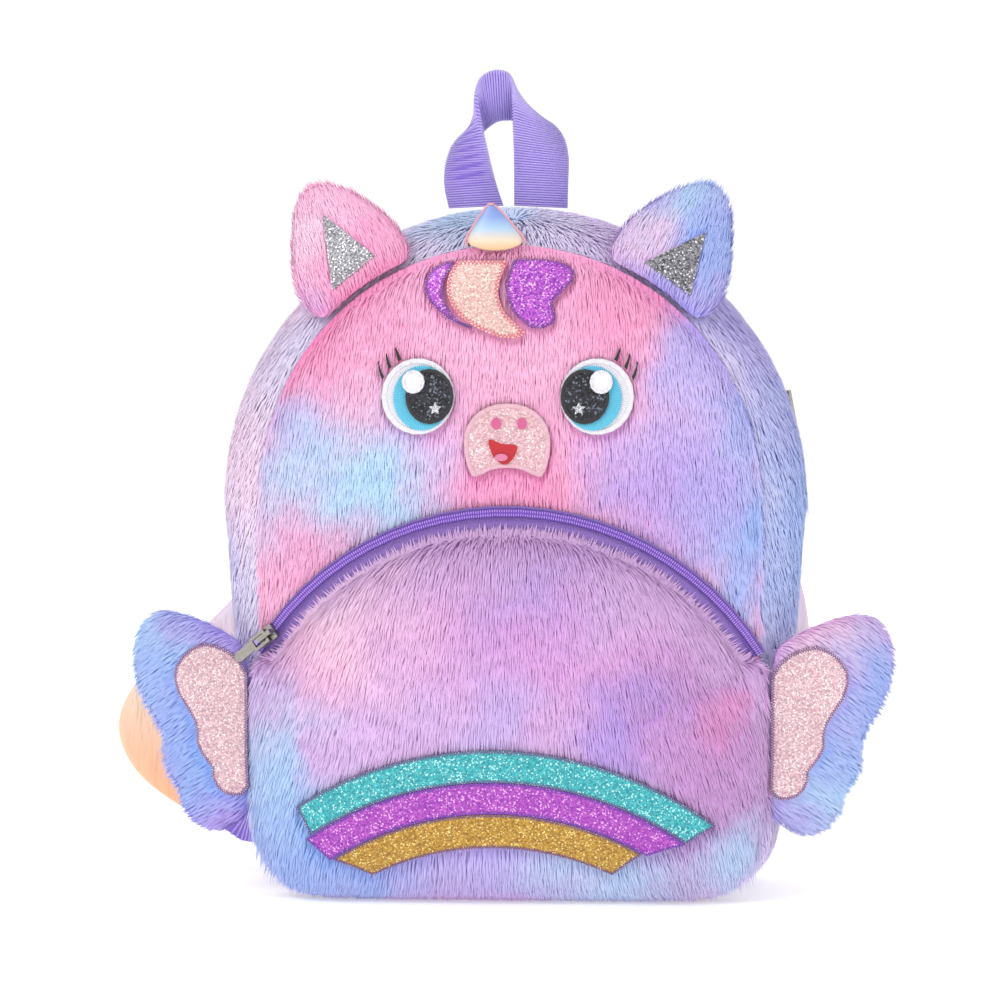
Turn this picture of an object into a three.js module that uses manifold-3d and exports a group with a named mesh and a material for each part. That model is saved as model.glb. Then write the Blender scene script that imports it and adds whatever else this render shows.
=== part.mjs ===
// A child's plush animal backpack: an arch shaped body with a face, a zipped front pocket, two ears,
// a soft horn, two wings, a webbing handle and two padded shoulder straps.
// Millimetres. X runs to the right of the face, Y from the face to the back, and Z up.
// The origin is the middle of the flat base that the bag stands on.
import * as THREE from 'three';
import { mergeVertices } from 'three/addons/utils/BufferGeometryUtils.js';
import Module from 'manifold-3d';

// Body
const BODY_DEPTH = 84; // front seam to back seam
const BODY_HEIGHT = 313.5; // ground to crown, where the side band is fullest
const BELLY_RADIUS = 135.5; // arch of the side band where it is fullest
const BELLY_FOOT = 124.5; // half width just above the bottom corners
const FOOT_CORNER = 30; // bottom corner radius
const SEAM_DRAW = 22.5; // how far the front seam lies inside the belly at the sides
const CROWN_DRAW = 18.5; // the same at the crown
const FOOT_DRAW = 12.5; // the same at the foot
const BACK_DRAW = 0.66; // how much of those draws the back seam has
const SEAM_LIFT = 5; // height of both seams above the ground
const FLAT_DEPTH = 56; // depth of the flat that the bag stands on
const WALL = 4; // plush, wadding and lining
const FACE_PUFF = 14; // how far the face stands out of its seam
const FACE_MIDDLE = 165; // height of the fullest point of the face and back
const BACK_PUFF = 6; // how far the back panel stands out of its seam
const SEW_GAP = 0.3; // between pieces sewn edge to edge
const LAY_GAP = 0.5; // between a piece and what it is sewn flat on

// Front pocket and its zip
const POCKET_PUFF = 21; // how far the pocket stands out of the face
const POCKET_LIP = 2.5; // how far its edge overlaps the seam
const POCKET_MIDDLE = 72; // height of its fullest point
const ZIP_RADIUS = 130.5; // arc of the zip's coil
const ZIP_CROWN = 175.5; // height of the top of that arc
const ZIP_END = 112; // height where the zip meets the seam
const COIL_WIDTH = 4.2;
const COIL_THICK = 1.8;
const TAPE_BELOW = 9; // tape that shows under the coil
const TAPE_ABOVE = 3; // tape between the coil and the face
const TAPE_THICK = 0.8;
const SLIDER = { width: 7, length: 8.5, thick: 2.6, bridgeWidth: 2.2, bridgeRise: 3.4, bridgeThick: 1 };
const SLIDER_UP = 9; // distance of the slider above the zip's left end
const PULL = { length: 19, width: 6.4, wire: 1.3, eye: 7.5, tab: 4.6 };
const PULL_TURN = 20; // degrees that the slider is turned out of the zip's line

// Main zip over the crown
const MAIN_ZIP_WIDTH = 16;
const MAIN_ZIP_THICK = 1.2;
const MAIN_COIL_RISE = 1.8;
const MAIN_SLIDER = { length: 10, width: 8, thick: 3, tabLength: 24, tabWidth: 5.5, tabThick: 1.4 };
const MAIN_SLIDER_AT = 0.12; // share of the right quarter arch, up from its end

// Features laid on the face
const PATCH_THICK = 0.7;
const EYE = { apart: 79.8, aboveZip: 51.5, wide: 16.2, tall: 16.8 };
const LASH_LENGTH = 6;
const MUZZLE = { aboveZip: 32, wide: 19.2, tall: 16.3 };
const FORELOCK = { underSeam: 5, across: -4, wide: 32, tall: 33 };
const RAINBOW = { across: -5, radius: 158.5, belowZip: 104 }; // its outer arc

// Ears, horn and wings
const EAR = { thick: 12, edge: 1.6, lean: 0.43, height: 51, wide: 60 };
const EAR_ANGLES = { low: 42, high: 68 }; // degrees above the arch's centre, where an ear is sewn in
const WING = { thick: 12, edge: 1.6, lean: 0.35, reach: 57, height: 102.5, foot: 28.5 };
const HORN = { across: -6, wide: 27, deep: 9.4, height: 17, lean: -2, dip: 0.55 };

// Handle and straps
const WEBBING_WIDTH = 25;
const WEBBING_THICK = 1.6;
const HANDLE_RISE = 61; // crown to the top of the loop
const HANDLE_BACK = 9; // how far behind the fullest line of the band its ends are sewn
const STRAP_WIDTH = 40;
const STRAP_THICK = 8;
const STRAP_TOP = 268;
const STRAP_SPREAD = 118; // how far out a strap hangs when it isn't bowed
const STRAP_STANDOFF = 32; // how far a strap stands off the back
const LEFT_HANG = { side: -1, bow: 47, foot: 33 }; // the left strap is bowed out and hangs lower
const RIGHT_HANG = { side: 1, bow: 0, foot: 60 };
const TAIL_WIDTH = 20; // webbing at the foot of each strap
const TAIL_THICK = 1.5;
const TAIL_INSET = 26; // its sewn end, in from the corner of the back
const TAIL_FOOT = 19; // height of that end
const ADJUSTER = { wide: 27, tall: 13, thick: 5.2, slotWide: 21.4, slotThick: 2.7 };

const HALF_DEPTH = BODY_DEPTH / 2;
const FRONT_RIM = -(HALF_DEPTH + SEW_GAP + WALL); // front of the face panel's edge
const BACK_RIM = HALF_DEPTH + SEW_GAP + WALL; // back of the back panel's edge
const ZIP_CENTRE = ZIP_CROWN - ZIP_RADIUS;
const EYE_HEIGHT = ZIP_CROWN + EYE.aboveZip;
const MUZZLE_HEIGHT = ZIP_CROWN + MUZZLE.aboveZip;
const FORELOCK_HEIGHT = BODY_HEIGHT - CROWN_DRAW - FORELOCK.underSeam;
const RAINBOW_CENTRE = ZIP_CROWN - RAINBOW.belowZip - RAINBOW.radius;
const wasm = await Module();
wasm.setup();

// Colours
const plush = (colour) => new THREE.MeshStandardMaterial({ color: colour, roughness: 0.95, metalness: 0 });
const thread = (colour) => new THREE.MeshStandardMaterial({ color: colour, roughness: 0.7, metalness: 0 });
const glitter = (colour) => new THREE.MeshStandardMaterial({ color: colour, roughness: 0.4, metalness: 0.3 });
const satin = (colour) => new THREE.MeshStandardMaterial({ color: colour, roughness: 0.35, metalness: 0 });
const nickel = () => new THREE.MeshStandardMaterial({ color: '#b9b4b6', roughness: 0.3, metalness: 1 });

// Turns a grid of points into a closed body. Rows always close on themselves where wrapRows is set,
// columns where wrapColumns is set. Repeated points, as at a pole, are merged and their faces dropped.
function body(grid, wrapRows, wrapColumns, caps = []) {
  const columns = grid[0].length;
  const index = [];
  const lastRow = wrapRows ? grid.length : grid.length - 1;
  const lastColumn = wrapColumns ? columns : columns - 1;
  for (let row = 0; row < lastRow; row += 1) {
    const next = (row + 1) % grid.length;
    for (let column = 0; column < lastColumn; column += 1) {
      const beside = (column + 1) % columns;
      const a = row * columns + column;
      const b = next * columns + column;
      const c = next * columns + beside;
      const d = row * columns + beside;
      index.push(a, b, c, a, c, d);
    }
  }
  index.push(...caps);
  return closed(grid.flat(), index);
}

// Merges the points of a closed body, drops faces without area and turns all faces outwards.
function closed(points, index) {
  let geometry = new THREE.BufferGeometry();
  geometry.setAttribute('position', new THREE.Float32BufferAttribute(points.flat(), 3));
  geometry.setIndex(index);
  geometry = mergeVertices(geometry, 1e-3);
  const place = geometry.attributes.position;
  const corner = (i) => new THREE.Vector3().fromBufferAttribute(place, i);
  const old = geometry.index.array;
  let faces = [];
  let volume = 0;
  for (let i = 0; i < old.length; i += 3) {
    const [a, b, c] = [old[i], old[i + 1], old[i + 2]];
    if (a !== b && b !== c && c !== a) {
      faces.push([a, b, c]);
      volume += corner(a).dot(corner(b).cross(corner(c)));
    }
  }
  if (volume < 0) {
    faces = faces.map(([a, b, c]) => [a, c, b]);
  }
  geometry.setIndex(faces.flat());
  geometry.computeVertexNormals();
  return geometry;
}

// A wall between an outer and an inner grid with as many rows and columns. Rows run along the piece.
function shell(outer, inner, wrapRows) {
  const columns = outer[0].length;
  const grid = outer.map((row, i) => [...row, ...[...inner[i]].reverse()]);
  const width = 2 * columns;
  const caps = [];
  if (!wrapRows) {
    for (let column = 0; column < columns - 1; column += 1) {
      const across = width - 1 - column;
      const end = (grid.length - 1) * width;
      caps.push(column, column + 1, across - 1, column, across - 1, across);
      caps.push(end + column, end + across - 1, end + column + 1);
      caps.push(end + column, end + across, end + across - 1);
    }
  }
  return body(grid, wrapRows, true, caps);
}

// Joins or cuts bodies.
function solidOf(geometry) {
  const bare = geometry.clone();
  bare.deleteAttribute('normal');
  bare.deleteAttribute('uv');
  const merged = mergeVertices(bare, 1e-4);
  return new wasm.Manifold(new wasm.Mesh({
    numProp: 3,
    vertProperties: new Float32Array(merged.attributes.position.array),
    triVerts: new Uint32Array(merged.index.array),
  }));
}

function geometryOf(solid) {
  const mesh = solid.getMesh();
  const geometry = new THREE.BufferGeometry();
  geometry.setAttribute('position', new THREE.Float32BufferAttribute(mesh.vertProperties, 3));
  geometry.setIndex([...mesh.triVerts]);
  geometry.computeVertexNormals();
  return geometry;
}

function block(width, depth, height, x = 0, y = 0, z = 0) {
  return new THREE.BoxGeometry(width, depth, height).translate(x, y, z);
}

// How far the side band has drawn in towards its seams: 0 at the belly and 1 at the front seam.
function drawIn(y) {
  const reach = Math.min(1, Math.abs(y) / HALF_DEPTH);
  const full = 1 - (1 - reach ** 2.5) ** 0.8;
  return y > 0 ? full * BACK_DRAW : full;
}

// The arch outline of the bag at a depth, moved inwards by inset.
function archSize(y, inset = 0) {
  const draw = drawIn(y);
  const radius = BELLY_RADIUS - SEAM_DRAW * draw;
  const flat = FLAT_DEPTH / 2;
  const rise = Math.max(0, (Math.abs(y) - flat) / (HALF_DEPTH - flat));
  return {
    radius: radius - inset,
    centre: BODY_HEIGHT - CROWN_DRAW * draw - radius,
    foot: BELLY_FOOT - FOOT_DRAW * draw - inset,
    floor: SEAM_LIFT * rise ** 2 + inset,
    corner: FOOT_CORNER - inset,
  };
}

// A station is a place on the arch outline: a share of its base, corner, side or arch, right or left.
function archPoint(station, size) {
  const { run, share, side } = station;
  let x = share * (size.foot - size.corner);
  let z = size.floor;
  if (run === 'corner') {
    const angle = (share - 1) * (Math.PI / 2);
    x = size.foot - size.corner + size.corner * Math.cos(angle);
    z = size.floor + size.corner + size.corner * Math.sin(angle);
  }
  if (run === 'side') {
    x = size.foot + share * (size.radius - size.foot);
    z = size.floor + size.corner + share * (size.centre - size.floor - size.corner);
  }
  if (run === 'arch') {
    const angle = share * (Math.PI / 2);
    x = size.radius * Math.cos(angle);
    z = size.centre + size.radius * Math.sin(angle);
  }
  return [side * x, z];
}

const steps = (count, first = 0) => Array.from({ length: count + 1 - first }, (_, i) => (i + first) / count);

// Stations round the whole outline, from the middle of the base up the right and down the left.
const NOTCH = SEW_GAP / (BELLY_RADIUS * (Math.PI / 2)); // share of a quarter arch that clears the zip's end
const lowerRuns = [
  ...steps(1).map((share) => ({ run: 'base', share })),
  ...steps(3, 1).map((share) => ({ run: 'corner', share })),
  ...steps(4, 1).map((share) => ({ run: 'side', share })),
];
const archRuns = steps(12, 1).map((share) => ({ run: 'arch', share }));

function allRound(half) {
  const right = half.map((row) => ({ ...row, side: 1 }));
  const left = half.slice(1, -1).reverse().map((row) => ({ ...row, side: -1 }));
  return [...right, ...left];
}

const panelStations = allRound([...lowerRuns, ...archRuns]);
const bandStations = allRound([...lowerRuns, { run: 'arch', share: NOTCH, zipped: true },
  ...archRuns.map((row) => ({ ...row, zipped: true }))]);

// A point on the side band: a station at a depth, under the surface by inset.
function bandPoint(station, y, inset = 0) {
  const [x, z] = archPoint(station, archSize(y, inset));
  return [x, y, z];
}

// How far a point lies from the middle of an outline towards its edge: 0 to 1 inside it.
function shareAcross(x, z, middle, outline) {
  const [px, pz] = [x - middle[0], z - middle[1]];
  let share = 0;
  outline.forEach((from, i) => {
    const to = outline[(i + 1) % outline.length];
    const [ax, az] = [from[0] - middle[0], from[1] - middle[1]];
    const [bx, bz] = [to[0] - middle[0], to[1] - middle[1]];
    const area = ax * bz - az * bx;
    const first = (px * bz - pz * bx) / area;
    const second = (ax * pz - az * px) / area;
    if (Math.abs(area) > 1e-9 && first >= -1e-9 && second >= -1e-9) {
      share = Math.max(share, first + second);
    }
  });
  return share;
}

const puff = (share, power, fullness) => (1 - Math.min(1, share) ** power) ** fullness;

// A grid of rings drawn from an outline to its middle. Its depth comes from a function of x, z and share.
function ringGrid(outline, middle, shares, depthAt) {
  return outline.map(([ox, oz]) => shares.map((share) => {
    const x = middle[0] + share * (ox - middle[0]);
    const z = middle[1] + share * (oz - middle[1]);
    return [x, depthAt(x, z, share), z];
  }));
}

const shifted = (grid, dy) => grid.map((row) => row.map(([x, y, z]) => [x, y + dy, z]));

// Side band all round the bag, with a long notch for the main zip over the crown
function gusset() {
  const shares = [0, 0.035, 0.12, 0.27, 0.5, 0.73, 0.88, 0.965, 1];
  const backOf = (station) => (station.zipped ? HALF_DEPTH - MAIN_ZIP_WIDTH : HALF_DEPTH);
  const grid = (inset) => bandStations.map((station) => shares.map((share) => {
    const y = -HALF_DEPTH + share * (HALF_DEPTH + backOf(station));
    return bandPoint(station, y, inset);
  }));
  return shell(grid(0), grid(WALL), true);
}

// Face and front wall
const seamOutline = panelStations.map((station) => archPoint(station, archSize(-HALF_DEPTH)));
const faceMiddle = [0, FACE_MIDDLE];

function faceY(x, z) {
  return FRONT_RIM - FACE_PUFF * puff(shareAcross(x, z, faceMiddle, seamOutline), 2.4, 0.62);
}

function frontPanel() {
  const shares = [1, 0.96, 0.88, 0.76, 0.58, 0.34, 0];
  const outer = ringGrid(seamOutline, faceMiddle, shares, faceY);
  return shell(outer, shifted(outer, WALL), true);
}

const backOutline = panelStations.map((station) => archPoint(station, archSize(HALF_DEPTH)));

function backY(x, z) {
  return BACK_RIM + BACK_PUFF * puff(shareAcross(x, z, faceMiddle, backOutline), 2.4, 0.7);
}

function backPanel() {
  const outer = ringGrid(backOutline, faceMiddle, [1, 0.93, 0.8, 0.5, 0], backY);
  return shell(outer, shifted(outer, -WALL), true);
}

// Main zip: two tapes and a raised coil over the crown, let into the notch of the side band
const MAIN_ZIP_SECTION = [
  { across: 0, rise: 0 },
  { across: 0.37, rise: 0 },
  { across: 0.39, rise: 1 },
  { across: 0.61, rise: 1 },
  { across: 0.63, rise: 0 },
  { across: 1, rise: 0 },
];
const mainZipStations = bandStations.filter((station) => station.zipped)
  .map((station) => (station.share === NOTCH ? { ...station, share: 2 * NOTCH } : station));
const mainZipTop = (rise) => MAIN_ZIP_THICK - rise * MAIN_COIL_RISE;

function mainZip() {
  const front = HALF_DEPTH - MAIN_ZIP_WIDTH + SEW_GAP;
  const grid = (insetOf) => mainZipStations.map((station) => MAIN_ZIP_SECTION.map(({ across, rise }) => (
    bandPoint(station, front + across * (MAIN_ZIP_WIDTH - 2 * SEW_GAP), insetOf(rise)))));
  return shell(grid(mainZipTop), grid(() => 2 * MAIN_ZIP_THICK), false);
}

// Plain slider and pull in one, lying on the coil of the main zip
function mainZipSlider() {
  const { length, width, thick, tabLength, tabWidth, tabThick } = MAIN_SLIDER;
  const y = HALF_DEPTH - MAIN_ZIP_WIDTH / 2;
  const place = (share, depth, inset) => (
    new THREE.Vector3(...bandPoint({ run: 'arch', share, side: 1 }, depth, inset)));
  const at = MAIN_SLIDER_AT;
  const up = place(at + 0.02, y, 0).sub(place(at - 0.02, y, 0)).normalize();
  const back = place(at, y + 2, 0).sub(place(at, y - 2, 0)).normalize();
  const out = back.cross(up).normalize();
  const matrix = new THREE.Matrix4().makeBasis(up, out.clone().cross(up), out);
  const top = place(at, y, mainZipTop(1)).addScaledVector(out, 2 * SEW_GAP);
  const plate = solidOf(block(length, width, thick, 0, 0, thick / 2));
  const tab = solidOf(block(tabLength, tabWidth, tabThick, tabLength / 2, 0, thick + tabThick / 2 - 0.2));
  return geometryOf(plate.add(tab)).applyMatrix4(matrix.setPosition(top));
}

// Pocket zip: bands that follow an arc over the face
const zipEndAngle = Math.asin((ZIP_END - ZIP_CENTRE) / ZIP_RADIUS);
const zipAngle = (share) => zipEndAngle + share * (Math.PI - 2 * zipEndAngle);
const zipPoint = (angle, offset) => [
  (ZIP_RADIUS + offset) * Math.cos(angle),
  ZIP_CENTRE + (ZIP_RADIUS + offset) * Math.sin(angle),
];

// A flat band on a surface: rows along it and columns across it, each a place in the front view.
function laidBand(places, surfaceY, lift, thick) {
  const grid = (above) => places.map((row) => row.map(([x, z]) => [x, surfaceY(x, z) - above, z]));
  return shell(grid(lift + thick), grid(lift), false);
}

const ZIP_ROWS = 23;
const COIL_OFFSETS = [-COIL_WIDTH / 2, 0, COIL_WIDTH / 2];

function zipBand(offsets, lift, thick) {
  const places = steps(ZIP_ROWS).map((share) => offsets.map((offset) => zipPoint(zipAngle(share), offset)));
  return laidBand(places, faceY, lift, thick);
}

const TAPE_TOP = LAY_GAP + TAPE_THICK;
const COIL_TOP = TAPE_TOP + SEW_GAP + COIL_THICK;

// Pocket: its outline is the zip's lower tape edge and the seam below the zip's ends
function pocketOutline() {
  const size = archSize(-HALF_DEPTH, -POCKET_LIP);
  const arch = steps(20).map((share) => zipPoint(zipAngle(share), -TAPE_BELOW - SEW_GAP));
  const sideTop = (ZIP_END - 1 - size.floor - size.corner) / (size.centre - size.floor - size.corner);
  const down = [
    ...[1, 0.6, 0.25].map((share) => ({ run: 'side', share: share * sideTop })),
    ...[1, 2 / 3, 1 / 3, 0].map((share) => ({ run: 'corner', share })),
    { run: 'base', share: 0.45 },
  ];
  const left = down.map((row) => archPoint({ ...row, side: -1 }, size));
  const right = down.map((row) => archPoint({ ...row, side: 1 }, size)).reverse();
  return [...arch, ...left, ...right];
}

const pocketEdge = pocketOutline();
const pocketMiddle = [0, POCKET_MIDDLE];

function pocketY(x, z) {
  const share = shareAcross(x, z, pocketMiddle, pocketEdge);
  return faceY(x, z) - SEW_GAP - WALL - POCKET_PUFF * puff(share, 3.2, 0.55);
}

function pocketPanel() {
  const shares = [1, 0.985, 0.95, 0.88, 0.76, 0.56, 0.3, 0];
  const outer = ringGrid(pocketEdge, pocketMiddle, shares, pocketY);
  return shell(outer, shifted(outer, WALL), true);
}

// The slider's place: its middle on the coil, turned towards the foot of the seam
const sliderAngle = Math.PI - zipEndAngle - SLIDER_UP / ZIP_RADIUS;
const [sliderX, sliderZ] = zipPoint(sliderAngle, 0);
const sliderOut = new THREE.Vector3(
  (faceY(sliderX + 2, sliderZ) - faceY(sliderX - 2, sliderZ)) / 4,
  -1,
  (faceY(sliderX, sliderZ + 2) - faceY(sliderX, sliderZ - 2)) / 4,
).normalize();
const sliderSeat = new THREE.Vector3(sliderX, faceY(sliderX, sliderZ) - COIL_TOP, sliderZ)
  .addScaledVector(sliderOut, 2 * SEW_GAP);

// Local frame of the slider: X down the zip, Y across it and Z out of the face
const downZip = sliderAngle + Math.PI / 2 - THREE.MathUtils.degToRad(PULL_TURN);
const sliderDown = new THREE.Vector3(Math.cos(downZip), 0, Math.sin(downZip));
sliderDown.addScaledVector(sliderOut, -sliderDown.dot(sliderOut)).normalize();

function atSlider(geometry, rise) {
  const matrix = new THREE.Matrix4().makeBasis(sliderDown, sliderOut.clone().cross(sliderDown), sliderOut);
  return geometry.applyMatrix4(matrix.setPosition(sliderSeat.clone().addScaledVector(sliderOut, rise)));
}

function pocketZipSlider() {
  const { width, length, thick, bridgeWidth, bridgeRise, bridgeThick } = SLIDER;
  const plate = solidOf(block(length, width, thick, 0, 0, thick / 2));
  const bridge = solidOf(block(length - 1, bridgeWidth, bridgeRise, 0, 0, thick + bridgeRise / 2 - 0.1));
  const under = solidOf(block(length - 1 - 2 * bridgeThick, bridgeWidth + 1, bridgeRise - bridgeThick, 0, 0,
    thick + (bridgeRise - bridgeThick) / 2));
  return atSlider(geometryOf(plate.add(bridge.subtract(under))), 0);
}

// Height of the pull's hinge above the slider's underside: its wire turns in the bridge
const PULL_AXIS = SLIDER.thick + (SLIDER.bridgeRise - SLIDER.bridgeThick) / 2;

function pocketZipPull() {
  const { length, width, wire, eye, tab } = PULL;
  const outer = solidOf(block(eye + wire, width, wire, eye / 2, 0, 0));
  const hole = solidOf(block(eye - wire, width - 2 * wire, 2 * wire, eye / 2, 0, 0));
  const tongue = solidOf(new THREE.CylinderGeometry(tab / 2, tab / 2, wire, 10).rotateX(Math.PI / 2)
    .translate(length - tab / 2, 0, 0));
  const neck = solidOf(block(length - tab / 2 - eye, tab, wire, (length - tab / 2 + eye) / 2, 0, 0));
  return atSlider(geometryOf(outer.subtract(hole).add(neck).add(tongue)), PULL_AXIS);
}

// A smooth closed outline through rows of x and z
function smoothOutline(rows, count) {
  const curve = new THREE.CatmullRomCurve3(rows.map(({ x, z }) => new THREE.Vector3(x, 0, z)), true);
  return steps(count).slice(0, -1).map((share) => {
    const { x, z } = curve.getPoint(share);
    return [x, z];
  });
}

// A thin patch laid on a surface inside an outline that its middle sees all round
function laidPatch(outline, middle, surfaceY, lift, thick = PATCH_THICK, shares = [1, 0.5, 0]) {
  const outer = ringGrid(outline, middle, shares, (x, z) => surfaceY(x, z) - lift - thick);
  return shell(outer, shifted(outer, thick), true);
}

const ellipse = (x, z, wide, tall, count) => steps(count).slice(0, -1).map((share) => [
  x + wide * Math.cos(2 * Math.PI * share),
  z + tall * Math.sin(2 * Math.PI * share),
]);

// Height of a layer of embroidery: each lies on the one below it
const layer = (number) => LAY_GAP + number * (PATCH_THICK + SEW_GAP);

// Eye layers, from the white up: offsets from the middle of the eye, away from the nose
const EYE_LAYERS = [
  { name: 'white', out: 0, up: 0, wide: 1, tall: 1, sides: 22, level: 0, colour: '#f4f2f6' },
  { name: 'iris', out: -0.12, up: -0.04, wide: 0.8, tall: 0.86, sides: 20, level: 1, colour: '#4fc4ea' },
  { name: 'pupil', out: -0.33, up: 0, wide: 0.66, tall: 0.72, sides: 20, level: 2, colour: '#17151b' },
  { name: 'highlight', out: 0.12, up: 0.39, wide: 0.31, tall: 0.31, sides: 12, level: 3, colour: '#ffffff' },
];
const STAR = { out: -0.49, up: -0.32, radius: 0.19, waist: 0.09 };
const LASHES = [
  { angle: 26, bend: 14 },
  { angle: 44, bend: 8 },
  { angle: 62, bend: 2 },
];

function eyeLayer({ out, up, wide, tall, sides, level }, side) {
  const x = side * (EYE.apart / 2 + out * EYE.wide);
  const z = EYE_HEIGHT + up * EYE.tall;
  return laidPatch(ellipse(x, z, wide * EYE.wide, tall * EYE.tall, sides), [x, z], faceY, layer(level));
}

function eyeStar(side) {
  const x = side * (EYE.apart / 2 + STAR.out * EYE.wide);
  const z = EYE_HEIGHT + STAR.up * EYE.tall;
  const outline = steps(10).slice(0, -1).map((share, i) => {
    const reach = EYE.wide * (i % 2 ? STAR.waist : STAR.radius);
    const angle = 2 * Math.PI * share + Math.PI / 2;
    return [x + reach * Math.cos(angle), z + reach * Math.sin(angle)];
  });
  return laidPatch(outline, [x, z], faceY, layer(3), PATCH_THICK, [1, 0]);
}

function eyeLash({ angle, bend }, side) {
  const rows = steps(3).map((share) => {
    const turn = THREE.MathUtils.degToRad(angle + bend * share);
    const reach = 1.3 + LASH_LENGTH * share;
    const half = 0.9 * (1 - 0.7 * share);
    const along = [Math.cos(turn), Math.sin(turn)];
    const x = EYE.apart / 2 + (EYE.wide + reach) * along[0];
    const z = EYE_HEIGHT + (EYE.tall + reach) * along[1];
    return [-1, 1].map((edge) => [side * (x - edge * half * along[1]), z + edge * half * along[0]]);
  });
  return laidBand(rows, faceY, layer(0), PATCH_THICK);
}

// Muzzle: a round top over a base that curves in. Rows are the right half, as shares of its half size.
const MUZZLE_ROWS = [
  { x: 0, z: 1 },
  { x: 0.4, z: 0.93 },
  { x: 0.75, z: 0.68 },
  { x: 0.95, z: 0.3 },
  { x: 1, z: -0.1 },
  { x: 0.96, z: -0.5 },
  { x: 0.87, z: -0.84 },
  { x: 0.78, z: -0.98 },
  { x: 0.66, z: -0.96 },
  { x: 0.35, z: -0.79 },
  { x: 0, z: -0.74 },
];

function muzzleOutline() {
  const right = MUZZLE_ROWS.map(({ x, z }) => ({ x: MUZZLE.wide * x, z: MUZZLE_HEIGHT + MUZZLE.tall * z }));
  const left = right.slice(1, -1).reverse().map(({ x, z }) => ({ x: -x, z }));
  return smoothOutline([...right, ...left], 36);
}

const MOUTH_ROWS = [
  { x: -0.42, z: 0.03 },
  { x: -0.1, z: -0.1 },
  { x: 0.23, z: -0.13 },
  { x: 0.2, z: -0.38 },
  { x: -0.02, z: -0.66 },
  { x: -0.26, z: -0.52 },
  { x: -0.39, z: -0.24 },
];

function mouth() {
  const rows = MOUTH_ROWS.map(({ x, z }) => ({ x: x * MUZZLE.wide, z: MUZZLE_HEIGHT + z * MUZZLE.tall }));
  const middle = [-0.09 * MUZZLE.wide, MUZZLE_HEIGHT - 0.3 * MUZZLE.tall];
  return laidPatch(smoothOutline(rows, 16), middle, faceY, layer(1));
}

function nostril(side) {
  const x = 0.05 * MUZZLE.wide + side * 0.3 * MUZZLE.wide;
  const z = MUZZLE_HEIGHT + 0.46 * MUZZLE.tall;
  const outline = ellipse(x, z, 0.115 * MUZZLE.wide, 0.165 * MUZZLE.tall, 12);
  return laidPatch(outline, [x, z], faceY, layer(1), PATCH_THICK, [1, 0]);
}

function tongue() {
  const x = -0.13 * MUZZLE.wide;
  const z = MUZZLE_HEIGHT - 0.46 * MUZZLE.tall;
  const outline = ellipse(x, z, 0.155 * MUZZLE.wide, 0.1 * MUZZLE.tall, 12);
  return laidPatch(outline, [x, z], faceY, layer(2), PATCH_THICK, [1, 0]);
}

// Forelock: three locks that hang from the crown seam. Each row is a height and the lock's two edges,
// as shares of the forelock's height and half width.
const LEFT_LOCK = [
  { down: 0.1, from: -0.74, to: -0.6 },
  { down: 0.18, from: -0.92, to: -0.68 },
  { down: 0.34, from: -1.03, to: -0.77 },
  { down: 0.54, from: -1.02, to: -0.79 },
  { down: 0.74, from: -0.86, to: -0.7 },
  { down: 0.9, from: -0.64, to: -0.54 },
  { down: 0.98, from: -0.42, to: -0.36 },
];
const MIDDLE_LOCK = [
  { down: 0.08, from: -0.58, to: 0.1 },
  { down: 0.22, from: -0.68, to: 0.06 },
  { down: 0.42, from: -0.73, to: -0.01 },
  { down: 0.62, from: -0.69, to: 0.01 },
  { down: 0.8, from: -0.57, to: 0.1 },
  { down: 0.95, from: -0.36, to: 0.26 },
  { down: 1.06, from: -0.13, to: 0.36 },
  { down: 1.12, from: 0.06, to: 0.24 },
];
const RIGHT_LOCK = [
  { down: 0.06, from: 0.22, to: 0.56 },
  { down: 0.1, from: 0.2, to: 0.86 },
  { down: 0.18, from: 0.16, to: 1.02 },
  { down: 0.3, from: 0.12, to: 1.05 },
  { down: 0.42, from: 0.1, to: 0.96 },
  { down: 0.54, from: 0.1, to: 0.84 },
  { down: 0.62, from: 0.13, to: 0.76 },
  { down: 0.7, from: 0.16, to: 0.74 },
  { down: 0.82, from: 0.24, to: 0.8 },
  { down: 0.92, from: 0.36, to: 0.76 },
  { down: 0.99, from: 0.46, to: 0.62 },
];
const LOCK_STEPS = 12;

function lock(rows, level) {
  const edge = (name) => new THREE.CatmullRomCurve3(rows.map((row) => new THREE.Vector3(
    FORELOCK.across + FORELOCK.wide * row[name], 0, FORELOCK_HEIGHT - FORELOCK.tall * row.down)));
  const [from, to] = [edge('from'), edge('to')];
  const places = steps(LOCK_STEPS).map((share) => [0, 0.5, 1].map((across) => {
    const { x, z } = from.getPoint(share).lerp(to.getPoint(share), across);
    return [x, z];
  }));
  return laidBand(places, faceY, layer(level), PATCH_THICK);
}

// Rainbow on the pocket: three bands round one centre. Outer and inner are shares of its radius, and
// angles are degrees left and right of upright, at each band's outer and inner edge.
const RAINBOW_BANDS = [
  { name: 'outer', outer: 1, inner: 0.911, left: [33.8, 34.4], right: [38.2, 36.1], colour: '#2fb5b8' },
  { name: 'middle', outer: 0.9085, inner: 0.8215, left: [35.6, 34.3], right: [36, 31.4], colour: '#b14cc8' },
  { name: 'inner', outer: 0.819, inner: 0.7225, left: [33.6, 28.4], right: [30.3, 27.2], colour: '#c79a3c' },
];

function rainbowBand({ outer, inner, left, right }) {
  const places = steps(16).map((share) => steps(2).map((across) => {
    const radius = RAINBOW.radius * (outer + across * (inner - outer));
    const from = -(left[0] + across * (left[1] - left[0]));
    const to = right[0] + across * (right[1] - right[0]);
    const angle = THREE.MathUtils.degToRad(from + share * (to - from));
    return [RAINBOW.across + radius * Math.sin(angle), RAINBOW_CENTRE + radius * Math.cos(angle)];
  }));
  return laidBand(places, pocketY, LAY_GAP, PATCH_THICK);
}

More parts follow.
